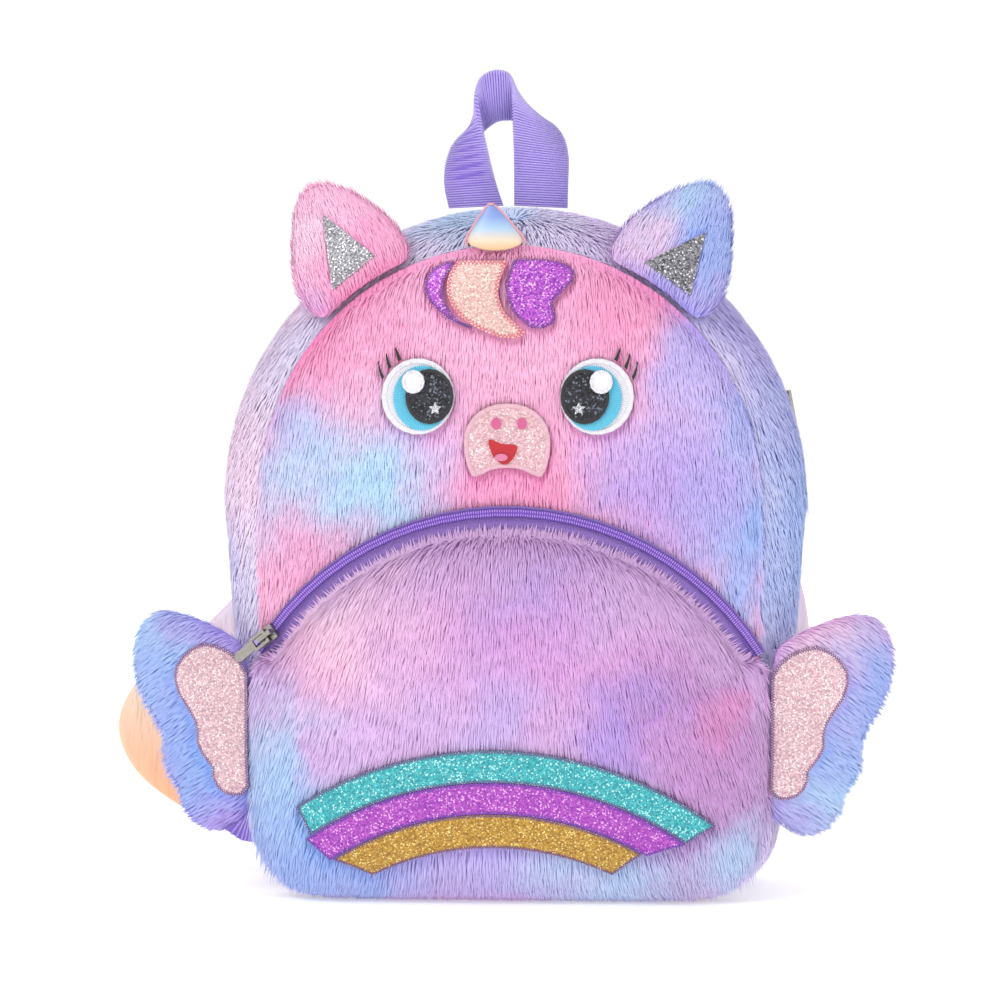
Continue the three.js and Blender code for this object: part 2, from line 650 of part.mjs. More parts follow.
// A stuffed pad in the front view: a middle surface that leans, with a crowned front and back
function pad({ outline, middle, middleY, thick, edge }) {
  const half = (share) => edge / 2 + (thick / 2 - edge / 2) * puff(share, 2.4, 0.6);
  const shares = [1, 0.88, 0.55, 0];
  const front = ringGrid(outline, middle, shares, (x, z, share) => middleY(x, z) - half(share));
  const back = ringGrid(outline, middle, shares, (x, z, share) => middleY(x, z) + half(share));
  const frontY = (x, z) => middleY(x, z) - half(shareAcross(x, z, middle, outline));
  return { geometry: shell(front, back, true), frontY };
}

// Ears: sewn in along the seam of the face, leaning back over the side band. Rows are shares of the
// ear's width along its base and of its height above the seam.
const EAR_ROWS = [
  { along: 0.98, up: 0.22 },
  { along: 0.92, up: 0.52 },
  { along: 0.8, up: 0.83 },
  { along: 0.62, up: 1.04 },
  { along: 0.43, up: 1.01 },
  { along: 0.24, up: 0.75 },
  { along: 0.1, up: 0.48 },
  { along: 0.02, up: 0.23 },
];
const LEFT_EAR_PATCH = [
  { along: 0.55, up: 0.76 },
  { along: 0.71, up: 0.18 },
  { along: 0.3, up: 0.15 },
];
const RIGHT_EAR_PATCH = [
  { along: 0.43, up: 0.66 },
  { along: 0.67, up: 0.14 },
  { along: 0.25, up: 0.13 },
];
const seamSize = archSize(-HALF_DEPTH, -SEW_GAP - 0.15);

function seamSpot(angle, rise) {
  return [
    -(seamSize.radius + rise) * Math.cos(angle),
    seamSize.centre + (seamSize.radius + rise) * Math.sin(angle),
  ];
}

// A place on the left ear: along the chord of its base and up at right angles to it
function earPlace(along, up) {
  const low = THREE.MathUtils.degToRad(EAR_ANGLES.low);
  const high = THREE.MathUtils.degToRad(EAR_ANGLES.high);
  const middle = (low + high) / 2;
  const [x, z] = seamSpot(middle, EAR.height * up);
  const slide = (along - 0.5) * EAR.wide;
  return [x + slide * Math.sin(middle), z + slide * Math.cos(middle)];
}

function earPad() {
  const low = THREE.MathUtils.degToRad(EAR_ANGLES.low);
  const high = THREE.MathUtils.degToRad(EAR_ANGLES.high);
  const base = steps(6).map((share) => seamSpot(low + share * (high - low), 0));
  const curve = new THREE.CatmullRomCurve3([
    base[6], ...EAR_ROWS.map(({ along, up }) => earPlace(along, up)), base[0],
  ].map(([x, z]) => new THREE.Vector3(x, 0, z)));
  const top = steps(20).slice(1, -1).map((share) => curve.getPoint(share)).map(({ x, z }) => [x, z]);
  const rise = (x, z) => Math.hypot(x, z - seamSize.centre) - seamSize.radius;
  const middleY = (x, z) => FRONT_RIM + EAR.edge / 2 + EAR.lean * rise(x, z);
  return pad({ outline: [...base, ...top], middle: earPlace(0.5, 0.42), middleY, ...EAR });
}

// Wings: three feathers each, sewn in beside the pocket. Rows are shares of the wing's reach and height.
const WING_ROWS = [
  { out: 0.0, up: 0.83 },
  { out: 0.19, up: 0.9 },
  { out: 0.4, up: 0.955 },
  { out: 0.61, up: 0.99 },
  { out: 0.78, up: 1.0 },
  { out: 0.93, up: 0.95 },
  { out: 1.0, up: 0.84 },
  { out: 0.985, up: 0.7 },
  { out: 0.91, up: 0.59 },
  { out: 0.81, up: 0.5 },
  { out: 0.74, up: 0.43 },
  { out: 0.75, up: 0.34 },
  { out: 0.7, up: 0.25 },
  { out: 0.61, up: 0.19 },
  { out: 0.58, up: 0.11 },
  { out: 0.46, up: 0.03 },
  { out: 0.33, up: 0.0 },
  { out: 0.2, up: 0.02 },
  { out: 0.1, up: 0.06 },
  { out: 0.0, up: 0.09 },
];
const WING_PATCH_ROWS = [
  { out: 0.05, up: 0.72 },
  { out: 0.14, up: 0.79 },
  { out: 0.28, up: 0.83 },
  { out: 0.43, up: 0.84 },
  { out: 0.57, up: 0.79 },
  { out: 0.65, up: 0.72 },
  { out: 0.64, up: 0.64 },
  { out: 0.52, up: 0.53 },
  { out: 0.465, up: 0.47 },
  { out: 0.47, up: 0.4 },
  { out: 0.4, up: 0.33 },
  { out: 0.345, up: 0.3 },
  { out: 0.335, up: 0.24 },
  { out: 0.265, up: 0.19 },
  { out: 0.17, up: 0.175 },
  { out: 0.06, up: 0.19 },
  { out: 0.05, up: 0.35 },
  { out: 0.05, up: 0.55 },
];
const wingRoot = archSize(-HALF_DEPTH, -POCKET_LIP).foot;

// A wing is sewn in along the pocket's edge, which widens a little with height.
function wingPlaces(rows, side) {
  const size = archSize(-HALF_DEPTH, -POCKET_LIP - SEW_GAP);
  return rows.map(({ out, up }) => {
    const z = WING.foot + WING.height * up;
    const share = Math.max(0, (z - size.floor - size.corner) / (size.centre - size.floor - size.corner));
    const [x] = archPoint({ run: 'side', share, side }, size);
    return { x: x + side * WING.reach * out, z };
  });
}

function wingPad(side) {
  const rows = wingPlaces(WING_ROWS, side);
  const curve = new THREE.CatmullRomCurve3(rows.map(({ x, z }) => new THREE.Vector3(x, 0, z)));
  const outline = steps(30).map((share) => curve.getPoint(share)).map(({ x, z }) => [x, z]);
  const middle = [side * (wingRoot + 0.24 * WING.reach), WING.foot + 0.45 * WING.height];
  const middleY = (x) => FRONT_RIM - WING.edge + WING.lean * (Math.abs(x) - wingRoot);
  return pad({ outline, middle, middleY, ...WING });
}

// Horn: a small flattened cone sewn in at the crown seam, its base lower in front
function horn() {
  const sides = 16;
  const levels = [
    { up: 0, size: 0 },
    { up: 0, size: 1 },
    { up: 0.14, size: 0.94 },
    { up: 0.55, size: 0.56 },
    { up: 0.9, size: 0.2 },
    { up: 1, size: 0.07 },
    { up: 1, size: 0 },
  ];
  const seamTop = seamSize.centre + seamSize.radius;
  const middle = -HALF_DEPTH - SEW_GAP - HORN.deep / 2;
  const grid = steps(sides).slice(0, -1).map((share) => levels.map(({ up, size }) => {
    const angle = 2 * Math.PI * share;
    const dip = up === 0 || size > 0.9 ? HORN.dip * Math.min(0, Math.sin(angle)) * HORN.deep * size : 0;
    return [
      HORN.across + HORN.lean * up + (HORN.wide / 2) * size * Math.cos(angle),
      middle + (HORN.deep / 2) * size * Math.sin(angle),
      seamTop + SEW_GAP + HORN.height * up + dip,
    ];
  }));
  return body(grid, true, false);
}

// A strap along rows of middle point and direction across: a flat or cushioned section
function strap(rows, thick, section) {
  const grid = rows.map((row, i) => {
    const from = rows[Math.max(0, i - 1)].point;
    const to = rows[Math.min(rows.length - 1, i + 1)].point;
    const along = row.along ?? to.clone().sub(from);
    const out = row.across.clone().cross(along).normalize();
    return section.map(({ share, full }) => [1, -1].map((face) => row.point.clone()
      .addScaledVector(row.across, (share * row.width) / 2)
      .addScaledVector(out, (face * full * thick) / 2)
      .toArray()));
  });
  const face = (number) => grid.map((row) => row.map((pair) => pair[number]));
  return shell(face(0), face(1), false);
}

const FLAT_SECTION = [{ share: -1, full: 1 }, { share: 1, full: 1 }];
const PADDED_SECTION = [
  { share: -1, full: 0.3 },
  { share: -0.82, full: 0.82 },
  { share: 0, full: 1 },
  { share: 0.82, full: 0.82 },
  { share: 1, full: 0.3 },
];

// Handle: one length of webbing, its ends sewn side by side with the same face forward. Each leg's
// inner edge runs on as the raised front edge of the loop, and its outer edge as the lower back edge.
// Across and back are shares of the webbing's width, and rise is a share of the handle's rise.
const HANDLE_ROWS = [
  { inner: { across: -0.24, back: 0, rise: 0 }, outer: { across: -1.24, back: 0, rise: -0.02 } },
  { inner: { across: -0.38, back: -0.04, rise: 0.17 }, outer: { across: -1.32, back: 0.04, rise: 0.14 } },
  { inner: { across: -0.5, back: -0.12, rise: 0.34 }, outer: { across: -1.3, back: 0.4, rise: 0.33 } },
  { inner: { across: -0.6, back: -0.2, rise: 0.51 }, outer: { across: -1.16, back: 0.6, rise: 0.48 } },
  { inner: { across: -0.68, back: -0.28, rise: 0.68 }, outer: { across: -0.88, back: 0.64, rise: 0.57 } },
  { inner: { across: -0.72, back: -0.32, rise: 0.83 }, outer: { across: -0.68, back: 0.5, rise: 0.57 } },
  { inner: { across: -0.62, back: -0.36, rise: 0.95 }, outer: { across: -0.52, back: 0.26, rise: 0.6 } },
  { inner: { across: -0.36, back: -0.4, rise: 1 }, outer: { across: -0.34, back: 0.14, rise: 0.64 } },
  { inner: { across: -0.12, back: -0.36, rise: 0.98 }, outer: { across: -0.1, back: 0.24, rise: 0.65 } },
  { inner: { across: -0.03, back: -0.32, rise: 0.9 }, outer: { across: 0.2, back: 0.42, rise: 0.65 } },
  { inner: { across: -0.03, back: -0.24, rise: 0.77 }, outer: { across: 0.58, back: 0.46, rise: 0.62 } },
  { inner: { across: -0.03, back: -0.16, rise: 0.61 }, outer: { across: 0.82, back: 0.34, rise: 0.53 } },
  { inner: { across: -0.03, back: -0.08, rise: 0.41 }, outer: { across: 0.96, back: 0.08, rise: 0.36 } },
  { inner: { across: -0.03, back: -0.04, rise: 0.2 }, outer: { across: 0.96, back: 0.02, rise: 0.18 } },
  { inner: { across: -0.03, back: 0, rise: 0 }, outer: { across: 0.95, back: 0, rise: -0.02 } },
];

function handle() {
  const sewnAt = BODY_HEIGHT - CROWN_DRAW * drawIn(HANDLE_BACK) + LAY_GAP;
  const edge = (name) => new THREE.CatmullRomCurve3(HANDLE_ROWS.map(({ [name]: spot }) => new THREE.Vector3(
    spot.across * WEBBING_WIDTH, HANDLE_BACK + spot.back * WEBBING_WIDTH, sewnAt + spot.rise * HANDLE_RISE)));
  const [inner, outer] = [edge('inner'), edge('outer')];
  const rows = steps(36).map((share) => {
    const [from, to] = [inner.getPoint(share), outer.getPoint(share)];
    const across = to.clone().sub(from).normalize();
    return { point: from.clone().add(to).multiplyScalar(0.5), across, width: from.distanceTo(to) };
  });
  return strap(rows, WEBBING_THICK, FLAT_SECTION);
}

// Shoulder straps: fall is a share of the strap's drop, out of its spread, bow of the extra bow,
// back of its standoff, and wide of its width.
const STRAP_ROWS = [
  { fall: 0, out: 0.27, bow: 0, back: 0, wide: 0.76 },
  { fall: 0.12, out: 0.36, bow: 0, back: 0.38, wide: 0.82 },
  { fall: 0.33, out: 0.62, bow: 0, back: 0.85, wide: 0.95 },
  { fall: 0.52, out: 0.84, bow: 0.05, back: 1, wide: 1 },
  { fall: 0.67, out: 0.97, bow: 0.3, back: 0.96, wide: 1 },
  { fall: 0.79, out: 1, bow: 0.82, back: 0.84, wide: 1 },
  { fall: 0.9, out: 1, bow: 1, back: 0.62, wide: 1 },
  { fall: 1, out: 0.9, bow: 0.83, back: 0.34, wide: 0.86 },
];
const strapStand = BACK_RIM + BACK_PUFF + LAY_GAP + STRAP_THICK / 2;

function strapPlace({ fall, out, bow, back }, hang) {
  return new THREE.Vector3(
    hang.side * (out * STRAP_SPREAD + bow * hang.bow),
    strapStand + back * STRAP_STANDOFF,
    STRAP_TOP - fall * (STRAP_TOP - hang.foot),
  );
}

function strapRows(hang) {
  const middles = new THREE.CatmullRomCurve3(STRAP_ROWS.map((row) => strapPlace(row, hang)));
  const widths = new THREE.CatmullRomCurve3(STRAP_ROWS.map(({ wide }, i) => new THREE.Vector3(i, wide, 0)));
  return steps(18).map((share) => {
    const point = middles.getPoint(share);
    const along = middles.getTangent(share);
    const across = new THREE.Vector3(0, 1, 0).cross(along).normalize();
    return { point, across, along, width: STRAP_WIDTH * widths.getPoint(share).y };
  });
}

const shoulderStrap = (hang) => strap(strapRows(hang), STRAP_THICK, PADDED_SECTION);

// Webbing from the foot of a strap, straight through its adjuster, to the bottom corner of the back
function tailRows(hang) {
  const { point: foot, along } = strapRows(hang).at(-1);
  const start = foot.clone().addScaledVector(along, SEW_GAP);
  const bend = start.clone().addScaledVector(along, ADJUSTER.tall + 2 * SEW_GAP + 2);
  const endX = hang.side * (archSize(HALF_DEPTH).foot - TAIL_INSET);
  const endY = backY(endX, TAIL_FOOT + TAIL_WIDTH / 2) + LAY_GAP + TAIL_THICK / 2;
  const end = new THREE.Vector3(endX, endY, TAIL_FOOT);
  const curve = new THREE.CubicBezierCurve3(
    bend,
    bend.clone().addScaledVector(along, TAIL_WIDTH / 2),
    end.clone().add(new THREE.Vector3(hang.side * TAIL_WIDTH * 0.7, TAIL_WIDTH * 0.2, TAIL_WIDTH * 0.5)),
    end,
  );
  const rows = steps(9).map((share) => ({ point: curve.getPoint(share), along: curve.getTangent(share) }));
  return [{ point: start, along }, ...rows].map((row) => ({
    ...row,
    across: new THREE.Vector3(0, 1, 0).cross(row.along).normalize(),
    width: TAIL_WIDTH,
  }));
}

const strapTail = (hang) => strap(tailRows(hang), TAIL_THICK, FLAT_SECTION);

// Plain strap adjuster: a flat frame that the webbing passes through
function strapAdjuster(hang) {
  const { point, across, along } = tailRows(hang)[0];
  const { wide, tall, thick, slotWide, slotThick } = ADJUSTER;
  const plate = solidOf(block(wide, tall, thick));
  const slot = solidOf(block(slotWide, tall + 2, slotThick));
  const matrix = new THREE.Matrix4().makeBasis(across, along, across.clone().cross(along));
  matrix.setPosition(point.clone().addScaledVector(along, tall / 2 + SEW_GAP));
  return geometryOf(plate.subtract(slot)).applyMatrix4(matrix);
}

// The whole bag
const bag = new THREE.Group();

function add(name, geometry, material) {
  const mesh = new THREE.Mesh(geometry, material);
  mesh.name = name;
  bag.add(mesh);
}

add('gusset', gusset(), plush('#c9bfec'));
add('front_panel', frontPanel(), plush('#efb3dc'));
add('back_panel', backPanel(), plush('#c8b8ea'));
add('pocket_panel', pocketPanel(), plush('#d3aee6'));
add('main_zip', mainZip(), thread('#9a6fd8'));
add('main_zip_slider', mainZipSlider(), nickel());
add('pocket_zip_tape', zipBand([-TAPE_BELOW, ...COIL_OFFSETS, TAPE_ABOVE], LAY_GAP, TAPE_THICK),
  thread('#9a63cf'));
add('pocket_zip_coil', zipBand(COIL_OFFSETS, TAPE_TOP + SEW_GAP, COIL_THICK), thread('#7b3fc4'));
add('pocket_zip_slider', pocketZipSlider(), nickel());
add('pocket_zip_pull', pocketZipPull(), nickel());

[['left', -1], ['right', 1]].forEach(([word, side]) => {
  EYE_LAYERS.forEach((row) => add(`eye_${row.name}_${word}`, eyeLayer(row, side), thread(row.colour)));
  add(`eye_star_${word}`, eyeStar(side), glitter('#cfd2da'));
  LASHES.forEach((row, i) => add(`eye_lash_${word}_${i + 1}`, eyeLash(row, side), thread('#1b1820')));
  add(`nostril_${word}`, nostril(side), thread('#ee6fae'));
});
add('muzzle', laidPatch(muzzleOutline(), [0, MUZZLE_HEIGHT], faceY, layer(0)), glitter('#eec6cf'));
add('mouth', mouth(), thread('#d8222f'));
add('tongue', tongue(), thread('#f391b4'));
add('forelock_left', lock(LEFT_LOCK, 0), glitter('#a53fc0'));
add('forelock_middle', lock(MIDDLE_LOCK, 1), glitter('#efc9c6'));
add('forelock_right', lock(RIGHT_LOCK, 0), glitter('#a53fc0'));
RAINBOW_BANDS.forEach((row) => add(`rainbow_${row.name}`, rainbowBand(row), glitter(row.colour)));

const leftEar = earPad();

function earPatch(rows) {
  const corners = rows.map(({ along, up }) => earPlace(along, up));
  const middle = [0, 1].map((axis) => corners.reduce((sum, spot) => sum + spot[axis], 0) / 3);
  const outline = corners.flatMap((from, i) => {
    const to = corners[(i + 1) % 3];
    const between = (share) => [0, 1].map((axis) => from[axis] + share * (to[axis] - from[axis]));
    return [0, 0.25, 0.5, 0.75].map(between);
  });
  return laidPatch(outline, middle, leftEar.frontY, LAY_GAP);
}

const mirrored = (geometry) => {
  const points = geometry.attributes.position;
  const place = (i) => [-points.getX(i), points.getY(i), points.getZ(i)];
  return closed(Array.from({ length: points.count }, (_, i) => place(i)), [...geometry.index.array]);
};
add('ear_left', leftEar.geometry, plush('#f3bfe0'));
add('ear_right', mirrored(leftEar.geometry), plush('#a9b8ec'));
add('ear_inner_left', earPatch(LEFT_EAR_PATCH), glitter('#b5b4ba'));
add('ear_inner_right', mirrored(earPatch(RIGHT_EAR_PATCH)), glitter('#b5b4ba'));
add('horn', horn(), satin('#a9b4de'));

[['left', -1], ['right', 1]].forEach(([word, side]) => {
  const wing = wingPad(side);
  const outline = smoothOutline(wingPlaces(WING_PATCH_ROWS, side), 26);
  const middle = [side * (wingRoot + 0.24 * WING.reach), WING.foot + 0.48 * WING.height];
  add(`wing_${word}`, wing.geometry, plush('#b6b9ee'));
  add(`wing_inner_${word}`, laidPatch(outline, middle, wing.frontY, LAY_GAP), glitter('#e6c3cb'));
});

add('handle', handle(), thread('#a98af0'));
[['left', LEFT_HANG], ['right', RIGHT_HANG]].forEach(([word, hang]) => {
  add(`shoulder_strap_${word}`, shoulderStrap(hang), satin('#f6c9a8'));
  add(`strap_webbing_${word}`, strapTail(hang), thread('#a98af0'));
  add(`strap_adjuster_${word}`, strapAdjuster(hang), thread('#9a7fe0'));
});

export default bag;
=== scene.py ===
# %% [markdown]
# # A plush animal backpack
#
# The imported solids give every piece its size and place. This script dresses them: long pile plush
# on the bag, ears and wings, glitter film and thread on the face, a nylon zip, webbing and satin.
# It is written in steps, each with a few words on what the real thing is and how it is made here.

# %% Load the frame
import math
import bmesh
import bpy
import numpy as np
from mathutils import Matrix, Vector
from mathutils.bvhtree import BVHTree


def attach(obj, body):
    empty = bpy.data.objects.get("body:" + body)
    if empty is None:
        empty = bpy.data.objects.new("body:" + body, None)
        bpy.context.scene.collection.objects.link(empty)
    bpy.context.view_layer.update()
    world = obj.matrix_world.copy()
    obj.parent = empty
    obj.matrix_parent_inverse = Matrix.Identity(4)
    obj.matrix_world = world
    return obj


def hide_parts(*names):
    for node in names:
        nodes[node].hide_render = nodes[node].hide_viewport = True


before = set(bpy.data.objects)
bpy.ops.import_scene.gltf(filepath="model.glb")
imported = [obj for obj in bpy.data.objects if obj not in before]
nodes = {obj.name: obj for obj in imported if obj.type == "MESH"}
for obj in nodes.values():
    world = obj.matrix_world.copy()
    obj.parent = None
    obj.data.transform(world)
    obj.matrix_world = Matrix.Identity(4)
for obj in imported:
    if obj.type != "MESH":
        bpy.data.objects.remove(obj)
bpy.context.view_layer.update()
MM = 0.001
BAG = "bag"

# %% [markdown]
# The camera stands almost straight in front of the face, a little to the right and a little above,
# and far away, so that the bag looks nearly flat on. Its aim is a point on the face.

# %% Camera
AIM = Vector((-4.3, -42, 180)) * MM
CAMERA_DISTANCE = 1700 * MM
CAMERA_TURN = math.radians(3.5)
CAMERA_RISE = math.radians(3)
LENS = 136

direction = Vector((
    math.sin(CAMERA_TURN) * math.cos(CAMERA_RISE),
    -math.cos(CAMERA_TURN) * math.cos(CAMERA_RISE),
    math.sin(CAMERA_RISE),
))
camera_data = bpy.data.cameras.new("camera")
camera_data.lens = LENS
camera = bpy.data.objects.new("camera", camera_data)
camera.location = AIM + direction * CAMERA_DISTANCE
camera.rotation_euler = direction.to_track_quat("Z", "Y").to_euler()
bpy.context.scene.collection.objects.link(camera)
bpy.context.scene.camera = camera
print("camera at", [round(value, 3) for value in camera.location])

# %% [markdown]
# Two small helpers serve every node tree, for shaders and for geometry alike: one turns a written
# colour into the linear values that Blender works in, and one adds a node with its settings and links.

# %% Node helpers


def colour(text):
    """A colour written as sRGB hex, as linear red, green, blue and alpha."""
    parts = [int(text[i:i + 2], 16) / 255 for i in (1, 3, 5)]
    return tuple(c / 12.92 if c <= 0.04045 else ((c + 0.055) / 1.055) ** 2.4 for c in parts) + (1.0,)


def add_node(tree, kind, inputs=None, **settings):
    """Adds a node. Inputs map a socket's name or number to a value or to another node's output."""
    node = tree.nodes.new(kind)
    for name, value in settings.items():
        setattr(node, name, value)
    for key, value in (inputs or {}).items():
        if isinstance(value, bpy.types.NodeSocket):
            tree.links.new(value, node.inputs[key])
        else:
            node.inputs[key].default_value = value
    return node


def new_material(name):
    """An empty material and its tree."""
    material = bpy.data.materials.new(name)
    material.use_nodes = True
    material.node_tree.nodes.clear()
    return material, material.node_tree


def finish_material(material, base, roughness=0.6, height=None, bump_mm=0.2, **fixed):
    """Ends a material in one shader. Fixed values are set on the shader's own sockets."""
    tree = material.node_tree
    inputs = {"Base Color": base, "Roughness": roughness}
    if height is not None:
        bump = add_node(tree, "ShaderNodeBump", {"Height": height, "Distance": bump_mm * MM, "Strength": 1.0})
        inputs["Normal"] = bump.outputs[0]
    inputs.update({name.replace("_", " ").title().replace("Ior", "IOR"): value for name, value in fixed.items()})
    shader = add_node(tree, "ShaderNodeBsdfPrincipled", inputs)
    output = add_node(tree, "ShaderNodeOutputMaterial")
    tree.links.new(shader.outputs[0], output.inputs[0])
    return material


def mix(tree, amount, first, second, blend="MIX"):
    """Mixes two colours by an amount."""
    return add_node(tree, "ShaderNodeMix", {0: amount, 6: first, 7: second}, data_type="RGBA",
                    blend_type=blend).outputs[2]


def noise(tree, place, size_mm, detail=2.0):
    """Soft cloudy noise whose blotches are about size_mm across."""
    return add_node(tree, "ShaderNodeTexNoise", {"Vector": place, "Scale": 1 / (size_mm * MM),
                                                 "Detail": detail, "Roughness": 0.5})


def object_place(tree):
    """The point's place on the bag, in metres."""
    return add_node(tree, "ShaderNodeTexCoord").outputs["Object"]


print("node helpers ready")

# %% [markdown]
# Tie-dyed plush. The pile is polyester, dyed in soft pools of pink, lilac and blue that run into
# each other. Each piece gets a short list of pools over a ground colour. Noise bends the place
# first, so that no pool is round. A strand is painted darker at its root, as painted shade deep in
# the pile. It is paler at its tip and differs a little from the next. Fine lanes along it stand for the single hairs of
# a tuft.

# %% Plush material
DYES = {
    "pink": "#f7b3d9", "hot": "#f584be", "pale": "#f8d4ea", "lilac": "#dbb8ee", "lavender": "#c0b6f2",
    "sky": "#b2daf8", "blue": "#97b8f4", "orchid": "#e09ade", "mist": "#e4dcf6", "violet": "#b293e8", "mauve": "#d9aee2",
    "plum": "#b982c6",
}
TIP_WHITE = 0.22


def plush(name, ground, pools, root=0.45):
    """Pools are rows of x, y, z and radius in mm, dye and strength. Root is the share of the colour left at a strand's
    root, as painted shade.
    """
    material, tree = new_material(name)
    place = object_place(tree)
    warp = noise(tree, place, 38, 3.0).outputs["Color"]
    shift = add_node(tree, "ShaderNodeVectorMath", {0: warp, 1: (0.5, 0.5, 0.5)}, operation="SUBTRACT")
    bent = add_node(tree, "ShaderNodeVectorMath", {0: shift.outputs[0], 1: (0.06, 0.06, 0.06), 2: place},
                    operation="MULTIPLY_ADD").outputs[0]
    shade = colour(DYES[ground])
    for x, y, z, radius, dye, strength in pools:
        far = add_node(tree, "ShaderNodeVectorMath", {0: bent, 1: Vector((x, y, z)) * MM}, operation="DISTANCE")
        pool = add_node(tree, "ShaderNodeMapRange", {
            "Value": far.outputs["Value"], "From Min": radius * 1.35 * MM, "From Max": radius * 0.15 * MM,
            "To Min": 0.0, "To Max": strength}, interpolation_type="SMOOTHSTEP")
        shade = mix(tree, pool.outputs[0], shade, colour(DYES[dye]))
    tip = add_node(tree, "ShaderNodeAttribute", attribute_name="tip").outputs["Fac"]
    own = add_node(tree, "ShaderNodeAttribute", attribute_name="shade").outputs["Fac"]
    # Painted shade: each strand is coloured darker towards its root, down to the root share, for the shade deep in the
    # pile.
    light = add_node(tree, "ShaderNodeMapRange", {"Value": tip, "To Min": root, "To Max": 1.0})
    varied = add_node(tree, "ShaderNodeMapRange", {"Value": own, "To Min": 0.8, "To Max": 1.0})
    root_shade_and_tone = add_node(tree, "ShaderNodeMath", {0: light.outputs[0], 1: varied.outputs[0]}, operation="MULTIPLY")
    lane = add_node(tree, "ShaderNodeAttribute", attribute_name="lane").outputs["Fac"]
    spread = add_node(tree, "ShaderNodeMath", {0: lane, 1: 7.0}, operation="MULTIPLY")
    offset = add_node(tree, "ShaderNodeMath", {0: own, 1: 40.0, 2: spread.outputs[0]}, operation="MULTIPLY_ADD")
    hairs = add_node(tree, "ShaderNodeMath", {0: offset.outputs[0]}, operation="SINE")
    split = add_node(tree, "ShaderNodeMath", {0: hairs.outputs[0], 1: 0.16, 2: root_shade_and_tone.outputs[0]},
                     operation="MULTIPLY_ADD")
    darker_dye_for_root_shade_and_tone = add_node(tree, "ShaderNodeGamma", {"Color": shade, "Gamma": 1.35}).outputs[0]
    toned = mix(tree, split.outputs[0], darker_dye_for_root_shade_and_tone, shade)
    pale = add_node(tree, "ShaderNodeMapRange", {"Value": tip, "From Min": 0.5, "To Max": TIP_WHITE})
    toned = mix(tree, pale.outputs[0], toned, colour("#fdf7fc"))
    return finish_material(material, toned, roughness=0.85, sheen_weight=0.2, sheen_roughness=0.5,
                           specular_ior_level=0.15)


FACE_POOLS = [
    (-78, -58, 190, 44, "sky", 1.0), (-58, -60, 182, 30, "sky", 0.9), (-98, -52, 212, 24, "lavender", 0.4),
    (-86, -55, 156, 26, "hot", 0.5), (-96, -50, 250, 24, "hot", 0.6), (-60, -60, 262, 26, "hot", 0.35),
    (8, -62, 181, 34, "hot", 0.75), (-30, -62, 176, 22, "hot", 0.5), (-34, -60, 205, 26, "lilac", 0.5),
    (60, -60, 270, 34, "hot", 0.5), (92, -52, 240, 30, "lavender", 0.9), (62, -60, 210, 30, "lilac", 0.5),
    (88, -56, 200, 38, "lavender", 0.8), (108, -50, 165, 36, "blue", 0.95), (68, -60, 184, 32, "violet", 0.65),
    (98, -54, 262, 22, "violet", 0.5), (104, -50, 135, 24, "blue", 0.7), (106, -52, 215, 22, "blue", 0.6),
]
POCKET_POOLS = [
    (-66, -80, 120, 42, "pale", 0.9), (-80, -80, 100, 34, "pink", 0.5), (-30, -85, 118, 34, "orchid", 0.55),
    (18, -85, 132, 32, "violet", 0.6), (40, -85, 132, 26, "mauve", 0.8), (14, -85, 108, 34, "orchid", 0.75),
    (-10, -85, 84, 30, "lavender", 0.5), (-64, -82, 78, 32, "lilac", 0.6), (62, -80, 104, 32, "orchid", 0.75),
    (62, -82, 78, 30, "violet", 0.9), (90, -75, 72, 30, "orchid", 1.0), (96, -75, 78, 18, "hot", 0.7),
    (78, -78, 98, 30, "plum", 0.6), (-106, -60, 44, 44, "sky", 0.95), (-100, -60, 16, 44, "blue", 0.95),
    (-60, -75, 8, 34, "blue", 0.8), (-10, -78, 14, 44, "lavender", 0.9), (50, -75, 10, 44, "sky", 0.85),
    (92, -70, 44, 44, "plum", 0.75), (110, -60, 12, 28, "sky", 0.8), (-85, -78, 62, 16, "orchid", 0.5),
]
SIDE_POOLS = [
    (-20, 0, 313, 40, "sky", 0.7), (60, -10, 300, 44, "lilac", 0.8), (-118, -10, 200, 48, "pale", 0.75),
    (-132, 0, 150, 30, "lavender", 0.6), (128, -10, 240, 60, "lavender", 0.9), (128, 0, 165, 70, "blue", 0.9),
    (-90, -10, 280, 36, "pale", 0.6), (110, -20, 268, 34, "lavender", 0.8), (0, 30, 10, 90, "lavender", 0.6),
    (-120, 20, 60, 50, "pale", 0.6), (120, 20, 50, 50, "lilac", 0.7), (-60, 0, 305, 30, "mist", 0.6),
]
LEFT_EAR_POOLS = [(-75, -42, 285, 30, "hot", 0.3), (-92, -30, 300, 26, "pale", 0.8), (-100, -40, 262, 18, "lilac", 0.6)]
RIGHT_EAR_POOLS = [(95, -38, 290, 34, "blue", 0.75), (62, -40, 295, 20, "pale", 0.7), (75, -30, 310, 18, "sky", 0.7),
                   (98, -42, 268, 14, "lilac", 0.7)]
LEFT_WING_POOLS = [(-168, -40, 118, 34, "sky", 0.9), (-140, -50, 62, 38, "blue", 1.0), (-125, -50, 28, 30, "violet", 0.8),
                   (-135, -50, 120, 24, "violet", 0.6), (-165, -45, 92, 26, "blue", 0.8)]
RIGHT_WING_POOLS = [(150, -45, 118, 30, "pale", 0.8), (172, -40, 100, 30, "blue", 0.9), (145, -48, 44, 38, "sky", 0.9),
                    (128, -50, 24, 24, "violet", 0.6), (160, -45, 70, 26, "blue", 0.7)]
